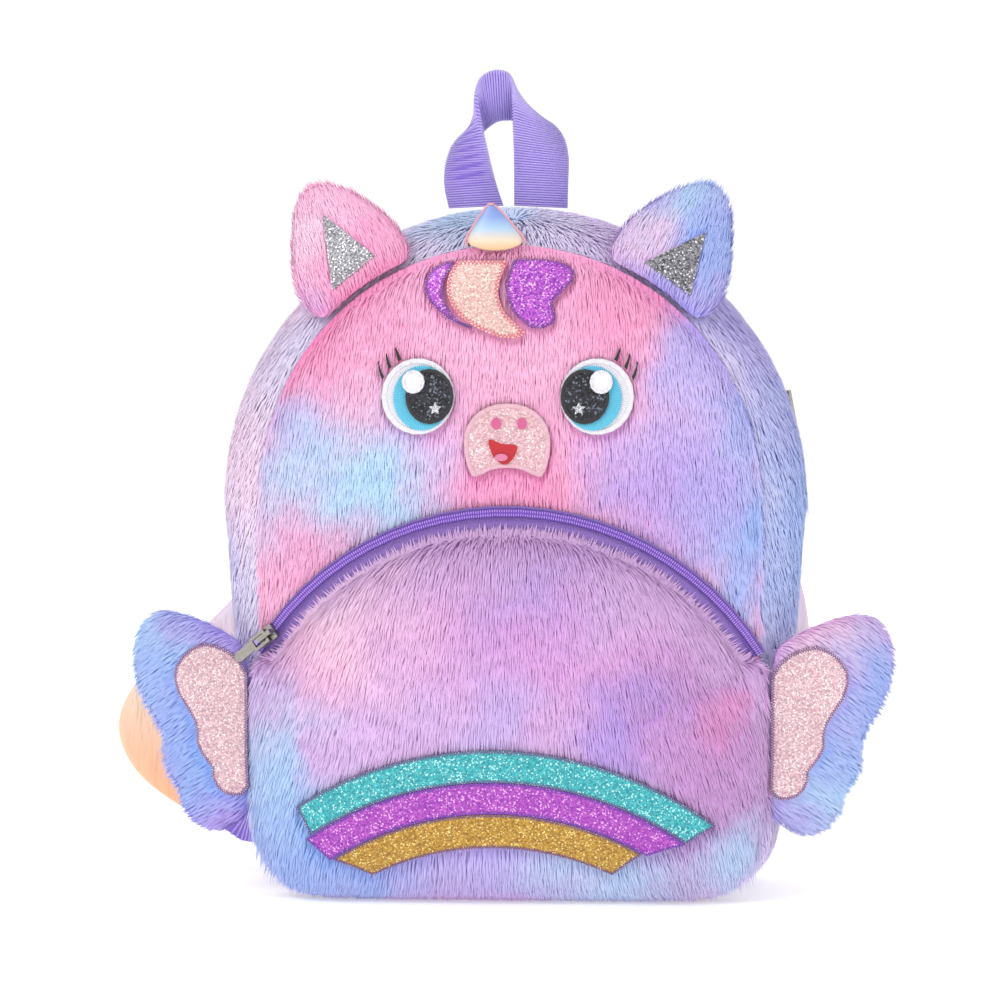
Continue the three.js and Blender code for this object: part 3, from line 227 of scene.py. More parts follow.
MATERIALS = {
    "face": plush("tie-dyed plush of the face", "pink", FACE_POOLS),
    "pocket": plush("tie-dyed plush of the pocket", "mauve", POCKET_POOLS),
    "side": plush("tie-dyed plush of the sides", "mist", SIDE_POOLS),
    "ear_left": plush("tie-dyed plush of the left ear", "pink", LEFT_EAR_POOLS),
    "ear_right": plush("tie-dyed plush of the right ear", "lavender", RIGHT_EAR_POOLS),
    "wing_left": plush("tie-dyed plush of the left wing", "lavender", LEFT_WING_POOLS),
    "wing_right": plush("tie-dyed plush of the right wing", "lilac", RIGHT_WING_POOLS),
}
print("plush:", len(MATERIALS), "dye lots")

# %% [markdown]
# Glitter film is polyester foil flakes in clear lacquer on a leathercloth back. A cell pattern gives
# each flake its own brightness and its own tilt. Real flakes are 0.2 mm; they are drawn at 0.6 mm so
# that they show at this picture's size.

# %% Glitter, thread and metal
FLAKE_MM = 0.62
THREAD_MM = 0.4


def glitter(name, low, high, painted_glint, flake_mm=FLAKE_MM, dark_share=0.3):
    """Film of flakes between two colours, with a few flakes painted near white as painted glints."""
    material, tree = new_material(name)
    flakes = add_node(tree, "ShaderNodeTexVoronoi", {"Vector": object_place(tree), "Scale": 1 / (flake_mm * MM)})
    tone = add_node(tree, "ShaderNodeSeparateColor", {0: flakes.outputs["Color"]})
    shade = add_node(tree, "ShaderNodeMapRange", {"Value": tone.outputs[0], "From Min": dark_share * 0.5,
                                                  "From Max": 0.8})
    film = mix(tree, shade.outputs[0], colour(low), colour(high))
    # Painted glint: a few flakes are coloured near white, for light that they catch.
    bright = add_node(tree, "ShaderNodeMapRange", {"Value": tone.outputs[1], "From Min": 0.86, "From Max": 0.92})
    lit = mix(tree, bright.outputs[0], film, colour(painted_glint))
    return finish_material(material, lit, roughness=0.36, height=tone.outputs[2], bump_mm=0.16,
                           metallic=0.25, coat_weight=0.25, coat_roughness=0.2)


def stitched(name, tint, centre=None, spokes=90, roughness=0.45):
    """Satin stitch: lines of thread side by side, or like spokes round a centre in mm. The low places between threads
    are painted darker, as painted shade.
    """
    material, tree = new_material(name)
    place = object_place(tree)
    if centre is None:
        lines = add_node(tree, "ShaderNodeTexWave", {"Vector": place, "Scale": 1 / (THREAD_MM * 3.2 * MM),
                                                     "Distortion": 1.0}, bands_direction="X")
        height = lines.outputs["Fac"]
    else:
        x, z = centre
        moved = add_node(tree, "ShaderNodeVectorMath", {0: place, 1: (x * MM, 0, z * MM)}, operation="SUBTRACT")
        parts = add_node(tree, "ShaderNodeSeparateXYZ", {0: moved.outputs[0]})
        angle = add_node(tree, "ShaderNodeMath", {0: parts.outputs[2], 1: parts.outputs[0]}, operation="ARCTAN2")
        turns = add_node(tree, "ShaderNodeMath", {0: angle.outputs[0], 1: spokes}, operation="MULTIPLY")
        height = add_node(tree, "ShaderNodeMath", {0: turns.outputs[0]}, operation="SINE").outputs[0]
    # Painted shade: the colour is darker where the thread pattern is low, for the shade between threads.
    dark = tuple(channel * 0.72 for channel in colour(tint)[:3]) + (1.0,)
    amount = add_node(tree, "ShaderNodeMapRange", {"Value": height, "From Min": -1 if centre else 0})
    return finish_material(material, mix(tree, amount.outputs[0], dark, colour(tint)), roughness=roughness,
                           height=height, bump_mm=0.12, sheen_weight=0.25, specular_ior_level=0.6)


def thread(name, tint, roughness=0.42):
    """Spun polyester sewing thread: a little lustre and small changes of tone."""
    material, tree = new_material(name)
    spots = noise(tree, object_place(tree), 1.4).outputs["Fac"]
    dark = tuple(channel * 0.8 for channel in colour(tint)[:3]) + (1.0,)
    return finish_material(material, mix(tree, spots, dark, colour(tint)), roughness=roughness,
                           sheen_weight=0.3, specular_ior_level=0.6)


def metal(name, tint, roughness=0.3):
    """Plated die-cast zinc, rubbed brighter in small patches."""
    material, tree = new_material(name)
    worn = noise(tree, object_place(tree), 1.5, 4.0).outputs["Fac"]
    dark = tuple(channel * 0.55 for channel in colour(tint)[:3]) + (1.0,)
    return finish_material(material, mix(tree, worn, dark, colour(tint)), roughness=roughness,
                           height=worn, bump_mm=0.05, metallic=1.0)


def woven(name, tint, size_mm=0.7, roughness=0.6):
    """Close twill: slanting lines of yarn across and along. The low places between yarns are painted darker, as painted
    shade.
    """
    material, tree = new_material(name)
    place = object_place(tree)
    lines = [add_node(tree, "ShaderNodeTexWave", {"Vector": place, "Scale": 1 / (size_mm * 3.2 * MM)},
                      bands_direction=way).outputs["Fac"] for way in ("X", "Z")]
    cross = add_node(tree, "ShaderNodeMath", {0: lines[0], 1: lines[1]}, operation="MULTIPLY").outputs[0]
    # Painted shade: the colour is darker where the weave is low, for the shade between yarns.
    dark = tuple(channel * 0.7 for channel in colour(tint)[:3]) + (1.0,)
    return finish_material(material, mix(tree, cross, dark, colour(tint)), roughness=roughness, height=cross,
                           bump_mm=0.15, sheen_weight=0.25, specular_ior_level=0.35)


def satin(name, low_mm, high_mm, tints, crease_mm=0.0, roughness=0.34):
    """Satin dyed in bands from a low height to a high one. Creases run up and down it."""
    material, tree = new_material(name)
    place = object_place(tree)
    parts = add_node(tree, "ShaderNodeSeparateXYZ", {0: place})
    height = add_node(tree, "ShaderNodeMapRange", {"Value": parts.outputs[2], "From Min": low_mm * MM,
                                                   "From Max": high_mm * MM})
    fade = add_node(tree, "ShaderNodeValToRGB", {"Fac": height.outputs[0]})
    stops = fade.color_ramp.elements
    while len(stops) < len(tints):
        stops.new(0.5)
    for i, tint in enumerate(tints):
        stops[i].position = i / (len(tints) - 1)
        stops[i].color = colour(tint)
    long = add_node(tree, "ShaderNodeVectorMath", {0: place, 1: (1.0, 0.6, 0.16)}, operation="MULTIPLY")
    folds = noise(tree, long.outputs[0], 5.0, 3.0).outputs["Fac"]
    return finish_material(material, fade.outputs[0], roughness=roughness, height=folds if crease_mm else None,
                           bump_mm=crease_mm, sheen_weight=0.35, anisotropic=0.4, specular_ior_level=0.6)


MATERIALS.update({
    "horn": satin("rainbow satin of the horn", 290.6, 312.8, ["#d9a468", "#ecd3b6", "#aac8e2", "#819cd8", "#7b8cd2"]),
    "satin": satin("peach satin of the straps", 30, 300, [
        "#f7b184", "#f6d3b6", "#e6d6e8", "#dcb4d6", "#c2a4dc", "#a8a8e2", "#9cb8e8"], 2.2),
    "piping": thread("rose piping", "#e8a0ac"),
    "tape": woven("violet zip tape", "#a884dc"),
    "coil": thread("violet coil core", "#6a3cb4"),
    "deep_thread": thread("dark violet lock stitch", "#36127c"),
    "webbing": woven("lilac webbing", "#9678e6", 1.1),
    "rib": thread("lilac webbing rib", "#c6b3f9", 0.5),
    "adjuster": thread("lilac moulded plastic", "#a58ae6", 0.3),
    "muzzle": glitter("blush glitter film", "#cf9ba6", "#efc8cf", "#fdeeee"),
    "ear_silver": glitter("silver glitter film", "#3a3840", "#98969e", "#f4f4f8", dark_share=0.1),
    "wing_film": glitter("rose glitter film", "#bd949f", "#e6c3cb", "#fbeeea"),
    "lock_purple": glitter("purple glitter film", "#8a2bb0", "#cf66d8", "#f6c2f4"),
    "lock_cream": glitter("peach glitter film", "#d3a09f", "#f0cdc4", "#fff3e6"),
    "teal": glitter("teal glitter film", "#1d8c98", "#45c0c4", "#bdf5f0"),
    "magenta": glitter("magenta glitter film", "#8d2aa8", "#be54c6", "#efb3ec"),
    "gold": glitter("gold glitter film", "#966a1a", "#cda03a", "#f6dd8c"),
    "star": glitter("silver foil", "#9a9aa4", "#e2e2e8", "#ffffff", flake_mm=0.4),
    "sequin": glitter("black sequin film", "#08080b", "#33323c", "#6f7688", flake_mm=0.8),
    "white_thread": thread("white embroidery thread", "#f3eff8"),
    "cyan_thread": thread("cyan embroidery thread", "#35b7e0"),
    "black_thread": thread("black embroidery thread", "#121016"),
    "pink_thread": thread("blush embroidery thread", "#eebccb"),
    "coral_thread": thread("coral sewing thread", "#e8627c"),
    "purple_thread": thread("purple sewing thread", "#6c3b86"),
    "violet_thread": thread("violet sewing thread", "#6a2fb0"),
    "zip_tooth": thread("violet nylon coil", "#bd92f2", 0.35),
    "nostril": stitched("pink satin stitch", "#ea679f"),
    "mouth": stitched("red satin stitch", "#d51327"),
    "tongue": stitched("rose satin stitch", "#f28bb2"),
    "lash": stitched("black satin stitch", "#141219"),
    "nickel": metal("antique nickel", "#b5afa9"),
})
print("materials:", len(MATERIALS))

# %% [markdown]
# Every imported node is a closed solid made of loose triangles. A piece that is worked on further is a
# copy with its doubles merged and its triangles joined to quads, so that subdivision rounds it like
# stuffed cloth. The pile will stand on this skin, so its outer side is first drawn in by the height
# of the pile: the tips of the strands then end where the solid's surface is.

# %% Skins


def link(mesh, name, material=None):
    """A new object at the origin for a mesh."""
    piece = bpy.data.objects.new(name, mesh)
    bpy.context.scene.collection.objects.link(piece)
    if material is not None:
        mesh.materials.clear()
        mesh.materials.append(material)
    return piece


def applied(piece):
    """The piece with its modifiers made real and taken off."""
    graph = bpy.context.evaluated_depsgraph_get()
    mesh = bpy.data.meshes.new_from_object(piece.evaluated_get(graph), depsgraph=graph)
    piece.modifiers.clear()
    old = piece.data
    piece.data = mesh
    mesh.name = piece.name
    bpy.data.meshes.remove(old)
    return piece


def merged_copy(node, name, material):
    """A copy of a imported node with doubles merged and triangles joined."""
    work = bmesh.new()
    work.from_mesh(nodes[node].data)
    bmesh.ops.remove_doubles(work, verts=work.verts, dist=0.02 * MM)
    bmesh.ops.join_triangles(work, faces=work.faces, angle_face_threshold=0.9, angle_shape_threshold=1.2)
    mesh = bpy.data.meshes.new(name)
    work.to_mesh(mesh)
    work.free()
    return link(mesh, name, material)


def rounded(piece, levels):
    """Subdivision for a soft, rounded form."""
    soft = piece.modifiers.new("soft", "SUBSURF")
    soft.levels = levels
    soft.render_levels = levels
    applied(piece)
    piece.data.shade_smooth()
    return piece


def shell_outside(axis):
    """Tells the outer side of a shell: points whose normal leans along the axis."""
    return lambda place, normal: normal @ np.array(axis, float) > 0.15


def band_outside(place, normal):
    """The outer side of the side band: normals that lean away from the middle of the bag."""
    away = place - np.array([0, 0, 150]) * MM
    away[:, 1] = 0
    return np.einsum("ij,ij->i", away, normal) > 0


def mesh_arrays(mesh):
    """Places and normals of a mesh's points."""
    place = np.empty(len(mesh.vertices) * 3)
    mesh.vertices.foreach_get("co", place)
    normal = np.empty(len(mesh.vertices) * 3)
    mesh.vertex_normals.foreach_get("vector", normal)
    return place.reshape(-1, 3), normal.reshape(-1, 3)


def skin(node, name, material, draw_mm, outside, levels=1, along=(1, 1, 1)):
    """A rounded copy of a soft node with its outer side drawn in, by a share of draw_mm on each axis."""
    piece = rounded(merged_copy(node, name, material), levels)
    place, normal = mesh_arrays(piece.data)
    outer = outside(place, normal)
    place[outer] -= normal[outer] * along * draw_mm * MM
    piece.data.vertices.foreach_set("co", place.ravel())
    piece.data.update()
    return piece


def pad_skin(node, name, material, draw_mm, levels=1):
    """A rounded copy of a stuffed pad, made smaller towards its middle in the front view."""
    piece = rounded(merged_copy(node, name, material), levels)
    place, _ = mesh_arrays(piece.data)
    middle = place.mean(axis=0)
    flat = (place - middle) * (1, 0, 1)
    reach = np.linalg.norm(flat, axis=1).max()
    piece.data.vertices.foreach_set("co", (place - flat * draw_mm * MM / reach).ravel())
    piece.data.update()
    return piece


PILE_DRAW_MM = 2.6
PAD_DRAW_MM = 2.2
FRONT, BACK = (0, -1, 0), (0, 1, 0)
face_skin = skin("front_panel", "face_skin", MATERIALS["face"], PILE_DRAW_MM, shell_outside(FRONT), 2)
pocket_skin = skin("pocket_panel", "pocket_skin", MATERIALS["pocket"], PILE_DRAW_MM, shell_outside(FRONT), 2,
                   along=(0.2, 1, 0.2))
side_skin = skin("gusset", "side_skin", MATERIALS["side"], PILE_DRAW_MM, band_outside)
back_skin = skin("back_panel", "back_skin", MATERIALS["side"], 1.0, shell_outside(BACK), 2)
pads = {word: pad_skin(word, f"{word}_skin", MATERIALS[word], PAD_DRAW_MM)
        for word in ("ear_left", "ear_right", "wing_left", "wing_right")}
print("skins:", [len(piece.data.polygons) for piece in (face_skin, pocket_skin, side_skin, back_skin)])

# %% [markdown]
# Long pile is thousands of strands that leave the cloth upright and then lie down along the comb.
# One strand is a narrow ribbon of three triangles with a bend in it. Geometry Nodes scatter it over
# the skin: the strand's own up follows the skin, its own forward follows the comb, and noise sways
# neighbours together, which makes the small clumps that real fur has. Two things are stored on the
# skin beforehand: the comb, and the share of the full length that a strand may have where it stands,
# so that no strand falls over an eye or the zip.

# %% Fur tree
STRAND_LIFT = 0.24


def new_tree(name, inputs):
    """A geometry tree with one geometry in and out and the named inputs."""
    tree = bpy.data.node_groups.new(name, "GeometryNodeTree")
    tree.interface.new_socket("Geometry", in_out="INPUT", socket_type="NodeSocketGeometry")
    tree.interface.new_socket("Geometry", in_out="OUTPUT", socket_type="NodeSocketGeometry")
    for label, kind in inputs.items():
        tree.interface.new_socket(label, in_out="INPUT", socket_type=f"NodeSocket{kind}")
    return tree, add_node(tree, "NodeGroupInput").outputs


def end_tree(tree, geometry, material):
    """Realizes the copies, gives them their material and ends the tree."""
    real = add_node(tree, "GeometryNodeRealizeInstances", {"Geometry": geometry})
    painted = add_node(tree, "GeometryNodeSetMaterial", {"Geometry": real.outputs[0], "Material": material})
    add_node(tree, "NodeGroupOutput", {"Geometry": painted.outputs[0]})


def run_tree(base, tree, values, name):
    """Runs a tree on a mesh and keeps the result as a plain mesh object."""
    source = link(base, f"{name}_source")
    modifier = source.modifiers.new("nodes", "NODES")
    modifier.node_group = tree
    sockets = {item.name: item.identifier for item in tree.interface.items_tree if item.in_out == "INPUT"}
    for label, value in values.items():
        modifier[sockets[label]] = value
    graph = bpy.context.evaluated_depsgraph_get()
    mesh = bpy.data.meshes.new_from_object(source.evaluated_get(graph), depsgraph=graph)
    bpy.data.objects.remove(source)
    mesh.name = name
    return link(mesh, name)


def attribute(tree, name, kind="FLOAT"):
    return add_node(tree, "GeometryNodeInputNamedAttribute", {"Name": name}, data_type=kind).outputs[0]


def fur_tree():
    tree, given = new_tree("pile", {"Strand": "Object", "Density": "Float", "Length": "Float",
                                    "Width": "Float", "Sway": "Float", "Clump": "Float", "Seed": "Int",
                                    "Material": "Material"})
    share = attribute(tree, "pile")
    there = add_node(tree, "FunctionNodeCompare", {0: share, 1: 0.12}, operation="GREATER_THAN")
    density = add_node(tree, "ShaderNodeMath", {0: there.outputs[0], 1: given["Density"]}, operation="MULTIPLY")
    normal = add_node(tree, "GeometryNodeInputNormal").outputs[0]
    kept = add_node(tree, "GeometryNodeStoreNamedAttribute", {
        "Geometry": given["Geometry"], "Name": "up", "Value": normal}, data_type="FLOAT_VECTOR", domain="POINT")
    roots = add_node(tree, "GeometryNodeDistributePointsOnFaces", {
        "Mesh": kept.outputs[0], "Density": density.outputs[0], "Seed": given["Seed"]})
    place = add_node(tree, "GeometryNodeInputPosition").outputs[0]
    clumps = add_node(tree, "ShaderNodeTexNoise", {"Vector": place, "Scale": given["Clump"], "Detail": 2.0})
    centred = add_node(tree, "ShaderNodeVectorMath", {0: clumps.outputs["Color"], 1: (0.5, 0.5, 0.5)},
                       operation="SUBTRACT")
    own = add_node(tree, "FunctionNodeRandomValue", {"Min": (-0.1, -0.1, -0.1), "Max": (0.1, 0.1, 0.1),
                                                     "Seed": given["Seed"]}, data_type="FLOAT_VECTOR")
    sway = add_node(tree, "ShaderNodeVectorMath", {0: centred.outputs[0], "Scale": given["Sway"]},
                    operation="SCALE")
    loose = add_node(tree, "ShaderNodeVectorMath", {0: sway.outputs[0], 1: own.outputs[0]}, operation="ADD")
    comb = add_node(tree, "ShaderNodeVectorMath", {0: attribute(tree, "comb", "FLOAT_VECTOR"),
                                                   1: loose.outputs[0]}, operation="ADD")
    upright = add_node(tree, "FunctionNodeAlignRotationToVector", {"Vector": roots.outputs["Normal"]}, axis="Z")
    combed = add_node(tree, "FunctionNodeAlignRotationToVector", {
        "Rotation": upright.outputs[0], "Vector": comb.outputs[0]}, axis="Y", pivot_axis="Z")
    luck = add_node(tree, "FunctionNodeRandomValue", {2: 0.72, 3: 1.12, "Seed": given["Seed"]}, data_type="FLOAT")
    reach = add_node(tree, "ShaderNodeMath", {0: share, 1: given["Length"]}, operation="MULTIPLY")
    length = add_node(tree, "ShaderNodeMath", {0: reach.outputs[0], 1: luck.outputs[1]}, operation="MULTIPLY")
    rise = add_node(tree, "ShaderNodeMapRange", {"Value": clumps.outputs["Fac"], "From Min": 0.3,
                                                 "From Max": 0.7, "To Min": 0.85, "To Max": 1.12})
    height = add_node(tree, "ShaderNodeMath", {0: length.outputs[0], 1: rise.outputs[0]}, operation="MULTIPLY")
    scale = add_node(tree, "ShaderNodeCombineXYZ", {0: given["Width"], 1: length.outputs[0],
                                                    2: height.outputs[0]})
    strand = add_node(tree, "GeometryNodeObjectInfo", {"Object": given["Strand"]})
    copies = add_node(tree, "GeometryNodeInstanceOnPoints", {
        "Points": roots.outputs["Points"], "Instance": strand.outputs["Geometry"],
        "Rotation": combed.outputs[0], "Scale": scale.outputs[0]})
    tone = add_node(tree, "FunctionNodeRandomValue", {"Seed": given["Seed"]}, data_type="FLOAT")
    toned = add_node(tree, "GeometryNodeStoreNamedAttribute", {
        "Geometry": copies.outputs[0], "Name": "shade", "Value": tone.outputs[1]},
        data_type="FLOAT", domain="INSTANCE")
    end_tree(tree, toned.outputs[0], given["Material"])
    return tree


def strand_object():
    """One strand: a ribbon one unit long and wide, upright at its root and lying at its tip."""
    rows = [(0.0, 0.0, 1.0), (0.42, 0.85, 0.8)]
    points = [(side * wide / 2, along, up * STRAND_LIFT) for along, up, wide in rows for side in (-1, 1)]
    points.append((0.0, 1.0, STRAND_LIFT))
    mesh = bpy.data.meshes.new("strand")
    mesh.from_pydata(points, [], [(0, 1, 3), (0, 3, 2), (2, 3, 4)])
    tips = mesh.attributes.new("tip", "FLOAT", "POINT")
    tips.data.foreach_set("value", [0.0, 0.0, 0.62, 0.62, 1.0])
    mesh.attributes.new("lane", "FLOAT", "POINT").data.foreach_set("value", [-1.0, 1.0, -0.8, 0.8, 0.0])
    mesh.shade_smooth()
    return link(mesh, "strand")


FUR_TREE = fur_tree()
STRAND = strand_object()
print("fur tree:", len(FUR_TREE.nodes), "nodes")

# %% [markdown]
# The growing surface is a finer copy of a skin's outer faces. For each of its points the strand is
# tried out along the comb: where it would cross a patch or the zip, it is cut short there.

# %% Growing fur
TRIAL_SHARES = (0.0, 0.08, 0.16, 0.26, 0.38, 0.52, 0.68, 0.84, 1.0)
FLOOR_ROOM_MM = 13


def hit_test(names):
    """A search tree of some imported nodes, to see what lies in front of a place."""
    points, faces = [], []
    for name in names:
        mesh = nodes[name].data
        first = len(points)
        points += [vertex.co.copy() for vertex in mesh.vertices]
        faces += [[first + i for i in face.vertices] for face in mesh.polygons]
    return BVHTree.FromPolygons(points, faces) if faces else None


def covered(tree, x, z, ahead):
    """Whether a node lies in front of a place, as seen along Y."""
    return tree is not None and tree.ray_cast(Vector((x, ahead, z)), Vector((0, 1, 0)), 0.4)[0] is not None


def growing_mesh(piece, outside, cuts):
    """The outer faces of a skin, cut finer."""
    work = bmesh.new()
    work.from_mesh(piece.data)
    work.faces.ensure_lookup_table()
    centres = np.array([face.calc_center_median() for face in work.faces])
    normals = np.array([face.normal for face in work.faces])
    inner = [face for face, out in zip(work.faces, outside(centres, normals)) if not out]
    bmesh.ops.delete(work, geom=inner, context="FACES")
    if cuts:
        bmesh.ops.subdivide_edges(work, edges=work.edges, cuts=cuts, use_grid_fill=True)
    mesh = bpy.data.meshes.new("growing")
    work.to_mesh(mesh)
    work.free()
    return mesh


def soften(mesh, skin_share):
    """Shades strands mostly as the cloth under them, so that the pile looks soft and not like wire."""
    own = mesh_arrays(mesh)[1]
    up = np.empty(len(mesh.vertices) * 3)
    mesh.attributes["up"].data.foreach_get("vector", up)
    up = up.reshape(-1, 3)
    side = np.sign(np.einsum("ij,ij->i", own, up))[:, None]
    blend = up * skin_share + own * np.where(side == 0, 1, side) * (1 - skin_share)
    mesh.normals_split_custom_set_from_vertices(blend / np.linalg.norm(blend, axis=1)[:, None])
    mesh.attributes.remove(mesh.attributes["up"])


def grow_fur(piece, name, outside, comb, length_mm, density, bare=(), clear=(), cuts=0, seed=1,
             width_mm=0.62, sway=0.6, clump_mm=7, skin_share=0.8):
    """Fur on a skin. Density is strands per square mm, bare nodes carry none, clear ones stay uncovered."""
    mesh = growing_mesh(piece, outside, cuts)
    place, normal = mesh_arrays(mesh)
    wanted = comb(place, normal)
    lying = wanted - normal * np.einsum("ij,ij->i", wanted, normal)[:, None]
    lying /= np.maximum(np.linalg.norm(lying, axis=1), 1e-6)[:, None]
    under, ahead = hit_test(bare), hit_test(clear)
    share = np.ones(len(place))
    for i, (spot, way) in enumerate(zip(place, lying)):
        if covered(under, spot[0], spot[2], -0.2):
            share[i] = 0.0
            continue
        for trial in TRIAL_SHARES if ahead else ():
            tip = spot + way * trial * length_mm * MM
            if covered(ahead, tip[0], tip[2], -0.2):
                share[i] = trial
                break
    falling = np.clip(-lying[:, 2], 0, 1)
    room = np.clip(place[:, 2] / MM / FLOOR_ROOM_MM, 0.15, 1)
    share *= 1 - falling * (1 - room)
    mesh.attributes.new("pile", "FLOAT", "POINT").data.foreach_set("value", share)
    mesh.attributes.new("comb", "FLOAT_VECTOR", "POINT").data.foreach_set("vector", lying.ravel())
    material = piece.data.materials[0]
    fur = run_tree(mesh, FUR_TREE, {
        "Strand": STRAND, "Density": density / MM ** 2, "Length": length_mm * MM, "Width": width_mm * MM,
        "Sway": sway, "Clump": 1 / (clump_mm * MM), "Seed": seed, "Material": material}, name)
    soften(fur.data, skin_share)
    print(f"{name}: {len(fur.data.polygons)} triangles")
    return fur


def falls(spread=0.0, forward=0.0):
    """Pile combed down, spread outwards and brought forward a little."""
    def comb(place, normal):
        way = np.zeros_like(place)
        way[:, 0] = place[:, 0] / (130 * MM) * spread
        way[:, 1] = -forward
        way[:, 2] = -1
        return way
    return comb


def flows(x, y, z):
    """Pile combed one way."""
    return lambda place, normal: np.tile(np.array([x, y, z], float), (len(place), 1))


def rim_outside(place, normal):
    """The slope at the top of the pocket, where it turns in to the zip."""
    return (normal[:, 1] > -0.93) & (normal[:, 1] < -0.15) & (place[:, 2] > 100 * MM)


def leaves_rim(place, normal):
    """Pile combed off the rim, over the edge of the zip tape."""
    return normal * (1, 0, 1) + (0, 0.3, 0)


def everywhere(place, normal):
    """Both sides of a stuffed pad."""
    return np.ones(len(place), bool)


EYES = [f"eye_{part}_{side}" for part in ("white",) for side in ("left", "right")]
LASHES = [f"eye_lash_{side}_{i}" for side in ("left", "right") for i in (1, 2, 3)]
LOCKS = ["forelock_left", "forelock_middle", "forelock_right"]
BANDS = ["rainbow_outer", "rainbow_middle", "rainbow_inner"]
ON_FACE = [*EYES, *LASHES, *LOCKS, "muzzle", "pocket_zip_coil", "pocket_zip_slider", "pocket_zip_pull"]
furs = [
    grow_fur(face_skin, "face_fur", shell_outside(FRONT), falls(0.12), 9.5, 1.45, width_mm=0.85,
             bare=[*EYES, *LOCKS, "muzzle", "pocket_zip_tape", "pocket_panel"], clear=ON_FACE, cuts=1, seed=3),
    grow_fur(pocket_skin, "pocket_fur", shell_outside(FRONT), falls(0.45), 11, 1.45,
             bare=BANDS, clear=BANDS, cuts=1, seed=5, width_mm=0.9, clump_mm=8),
    grow_fur(side_skin, "side_fur", band_outside, falls(0, -0.35), 9, 0.81, cuts=1, seed=7, width_mm=1.02,
             clear=["pocket_zip_pull"], skin_share=0.3),
    grow_fur(back_skin, "back_fur", shell_outside(BACK), falls(), 6, 0.6, seed=9, width_mm=1.0),
    grow_fur(pocket_skin, "pocket_rim_fur", rim_outside, leaves_rim, 6.5, 1.7, cuts=1, seed=19, width_mm=0.7,
             clear=["pocket_zip_coil", "pocket_zip_slider", "pocket_zip_pull"]),
]
for word, way, seed in (("ear_left", (-0.35, 0, 0.9), 11), ("ear_right", (0.35, 0, 0.9), 13),
                        ("wing_left", (-0.8, 0, -0.55), 15), ("wing_right", (0.8, 0, -0.55), 17)):
    patch = word.replace("_", "_inner_")
    furs.append(grow_fur(pads[word], f"{word}_fur", everywhere, flows(*way), 6.5, 1.5 if "ear" in word else 1.2,
                         cuts=1, seed=seed, bare=[patch], clear=[patch]))
bpy.data.objects.remove(STRAND)
print("fur in all:", sum(len(fur.data.polygons) for fur in furs), "triangles")

# %% [markdown]
# Thread work. A satin or zigzag edge is the same small bar of thread laid again and again along an
# edge, straight across it or leaning to and fro. One tree does it: it spaces points along a path,
# turns a bar across the path at each and realizes them. The zip's teeth and the ribs of the webbing
# are laid by the same tree, with a longer or fatter bar.

# %% Stitch tree


def stitch_tree():
    tree, given = new_tree("stitches", {"Bar": "Object", "Pitch": "Float", "Length": "Float", "Width": "Float",
                                        "Rise": "Float", "Lean": "Float", "Shift": "Float",
                                        "Material": "Material"})
    path = add_node(tree, "GeometryNodeMeshToCurve", {"Mesh": given["Geometry"]})
    spaced = add_node(tree, "GeometryNodeResampleCurve", {"Curve": path.outputs[0], "Length": given["Pitch"]},
                      mode="LENGTH")
    up = attribute(tree, "up", "FLOAT_VECTOR")
    reach = attribute(tree, "reach")
    side = attribute(tree, "across", "FLOAT_VECTOR")
    along = add_node(tree, "GeometryNodeInputTangent").outputs[0]
    index = add_node(tree, "GeometryNodeInputIndex").outputs[0]
    odd = add_node(tree, "ShaderNodeMath", {0: index, 1: 2.0}, operation="FLOORED_MODULO")
    turn = add_node(tree, "ShaderNodeMapRange", {"Value": odd.outputs[0], "To Min": -1.0, "To Max": 1.0})
    lean = add_node(tree, "ShaderNodeMath", {0: turn.outputs[0], 1: given["Lean"]}, operation="MULTIPLY")
    slant = add_node(tree, "ShaderNodeVectorMath", {0: along, "Scale": lean.outputs[0]}, operation="SCALE")
    across = add_node(tree, "ShaderNodeVectorMath", {0: side, 1: slant.outputs[0]}, operation="ADD")
    shift = add_node(tree, "ShaderNodeVectorMath", {0: side, "Scale": given["Shift"]}, operation="SCALE")
    moved = add_node(tree, "GeometryNodeSetPosition", {"Geometry": spaced.outputs[0],
                                                       "Offset": shift.outputs[0]})
    upright = add_node(tree, "FunctionNodeAlignRotationToVector", {"Vector": up}, axis="Z")
    turned = add_node(tree, "FunctionNodeAlignRotationToVector", {
        "Rotation": upright.outputs[0], "Vector": across.outputs[0]}, axis="Y", pivot_axis="Z")
    length = add_node(tree, "ShaderNodeMath", {0: reach, 1: given["Length"]}, operation="MULTIPLY")
    scale = add_node(tree, "ShaderNodeCombineXYZ", {0: given["Width"], 1: length.outputs[0], 2: given["Rise"]})
    bar = add_node(tree, "GeometryNodeObjectInfo", {"Object": given["Bar"]})
    copies = add_node(tree, "GeometryNodeInstanceOnPoints", {
        "Points": moved.outputs[0], "Instance": bar.outputs["Geometry"], "Rotation": turned.outputs[0],
        "Scale": scale.outputs[0]})
    end_tree(tree, copies.outputs[0], given["Material"])
    return tree


def bar_object(name, stations, sides=4):
    """A closed bar one unit long, wide and high. Stations are rows of place along it and girth."""
    points, faces = [], []
    for along, girth in stations:
        for k in range(sides):
            angle = 2 * math.pi * (k + 0.5) / sides
            points.append((math.cos(angle) * girth * 0.7, along, math.sin(angle) * girth * 0.7))
    for row in range(len(stations) - 1):
        for k in range(sides):
            a, b = row * sides + k, row * sides + (k + 1) % sides
            faces.append((a, b, b + sides, a + sides))
    last = (len(stations) - 1) * sides
    faces += [tuple(range(sides - 1, -1, -1)), tuple(range(last, last + sides))]
    mesh = bpy.data.meshes.new(name)
    mesh.from_pydata(points, [], faces)
    mesh.shade_smooth()
    return link(mesh, name)


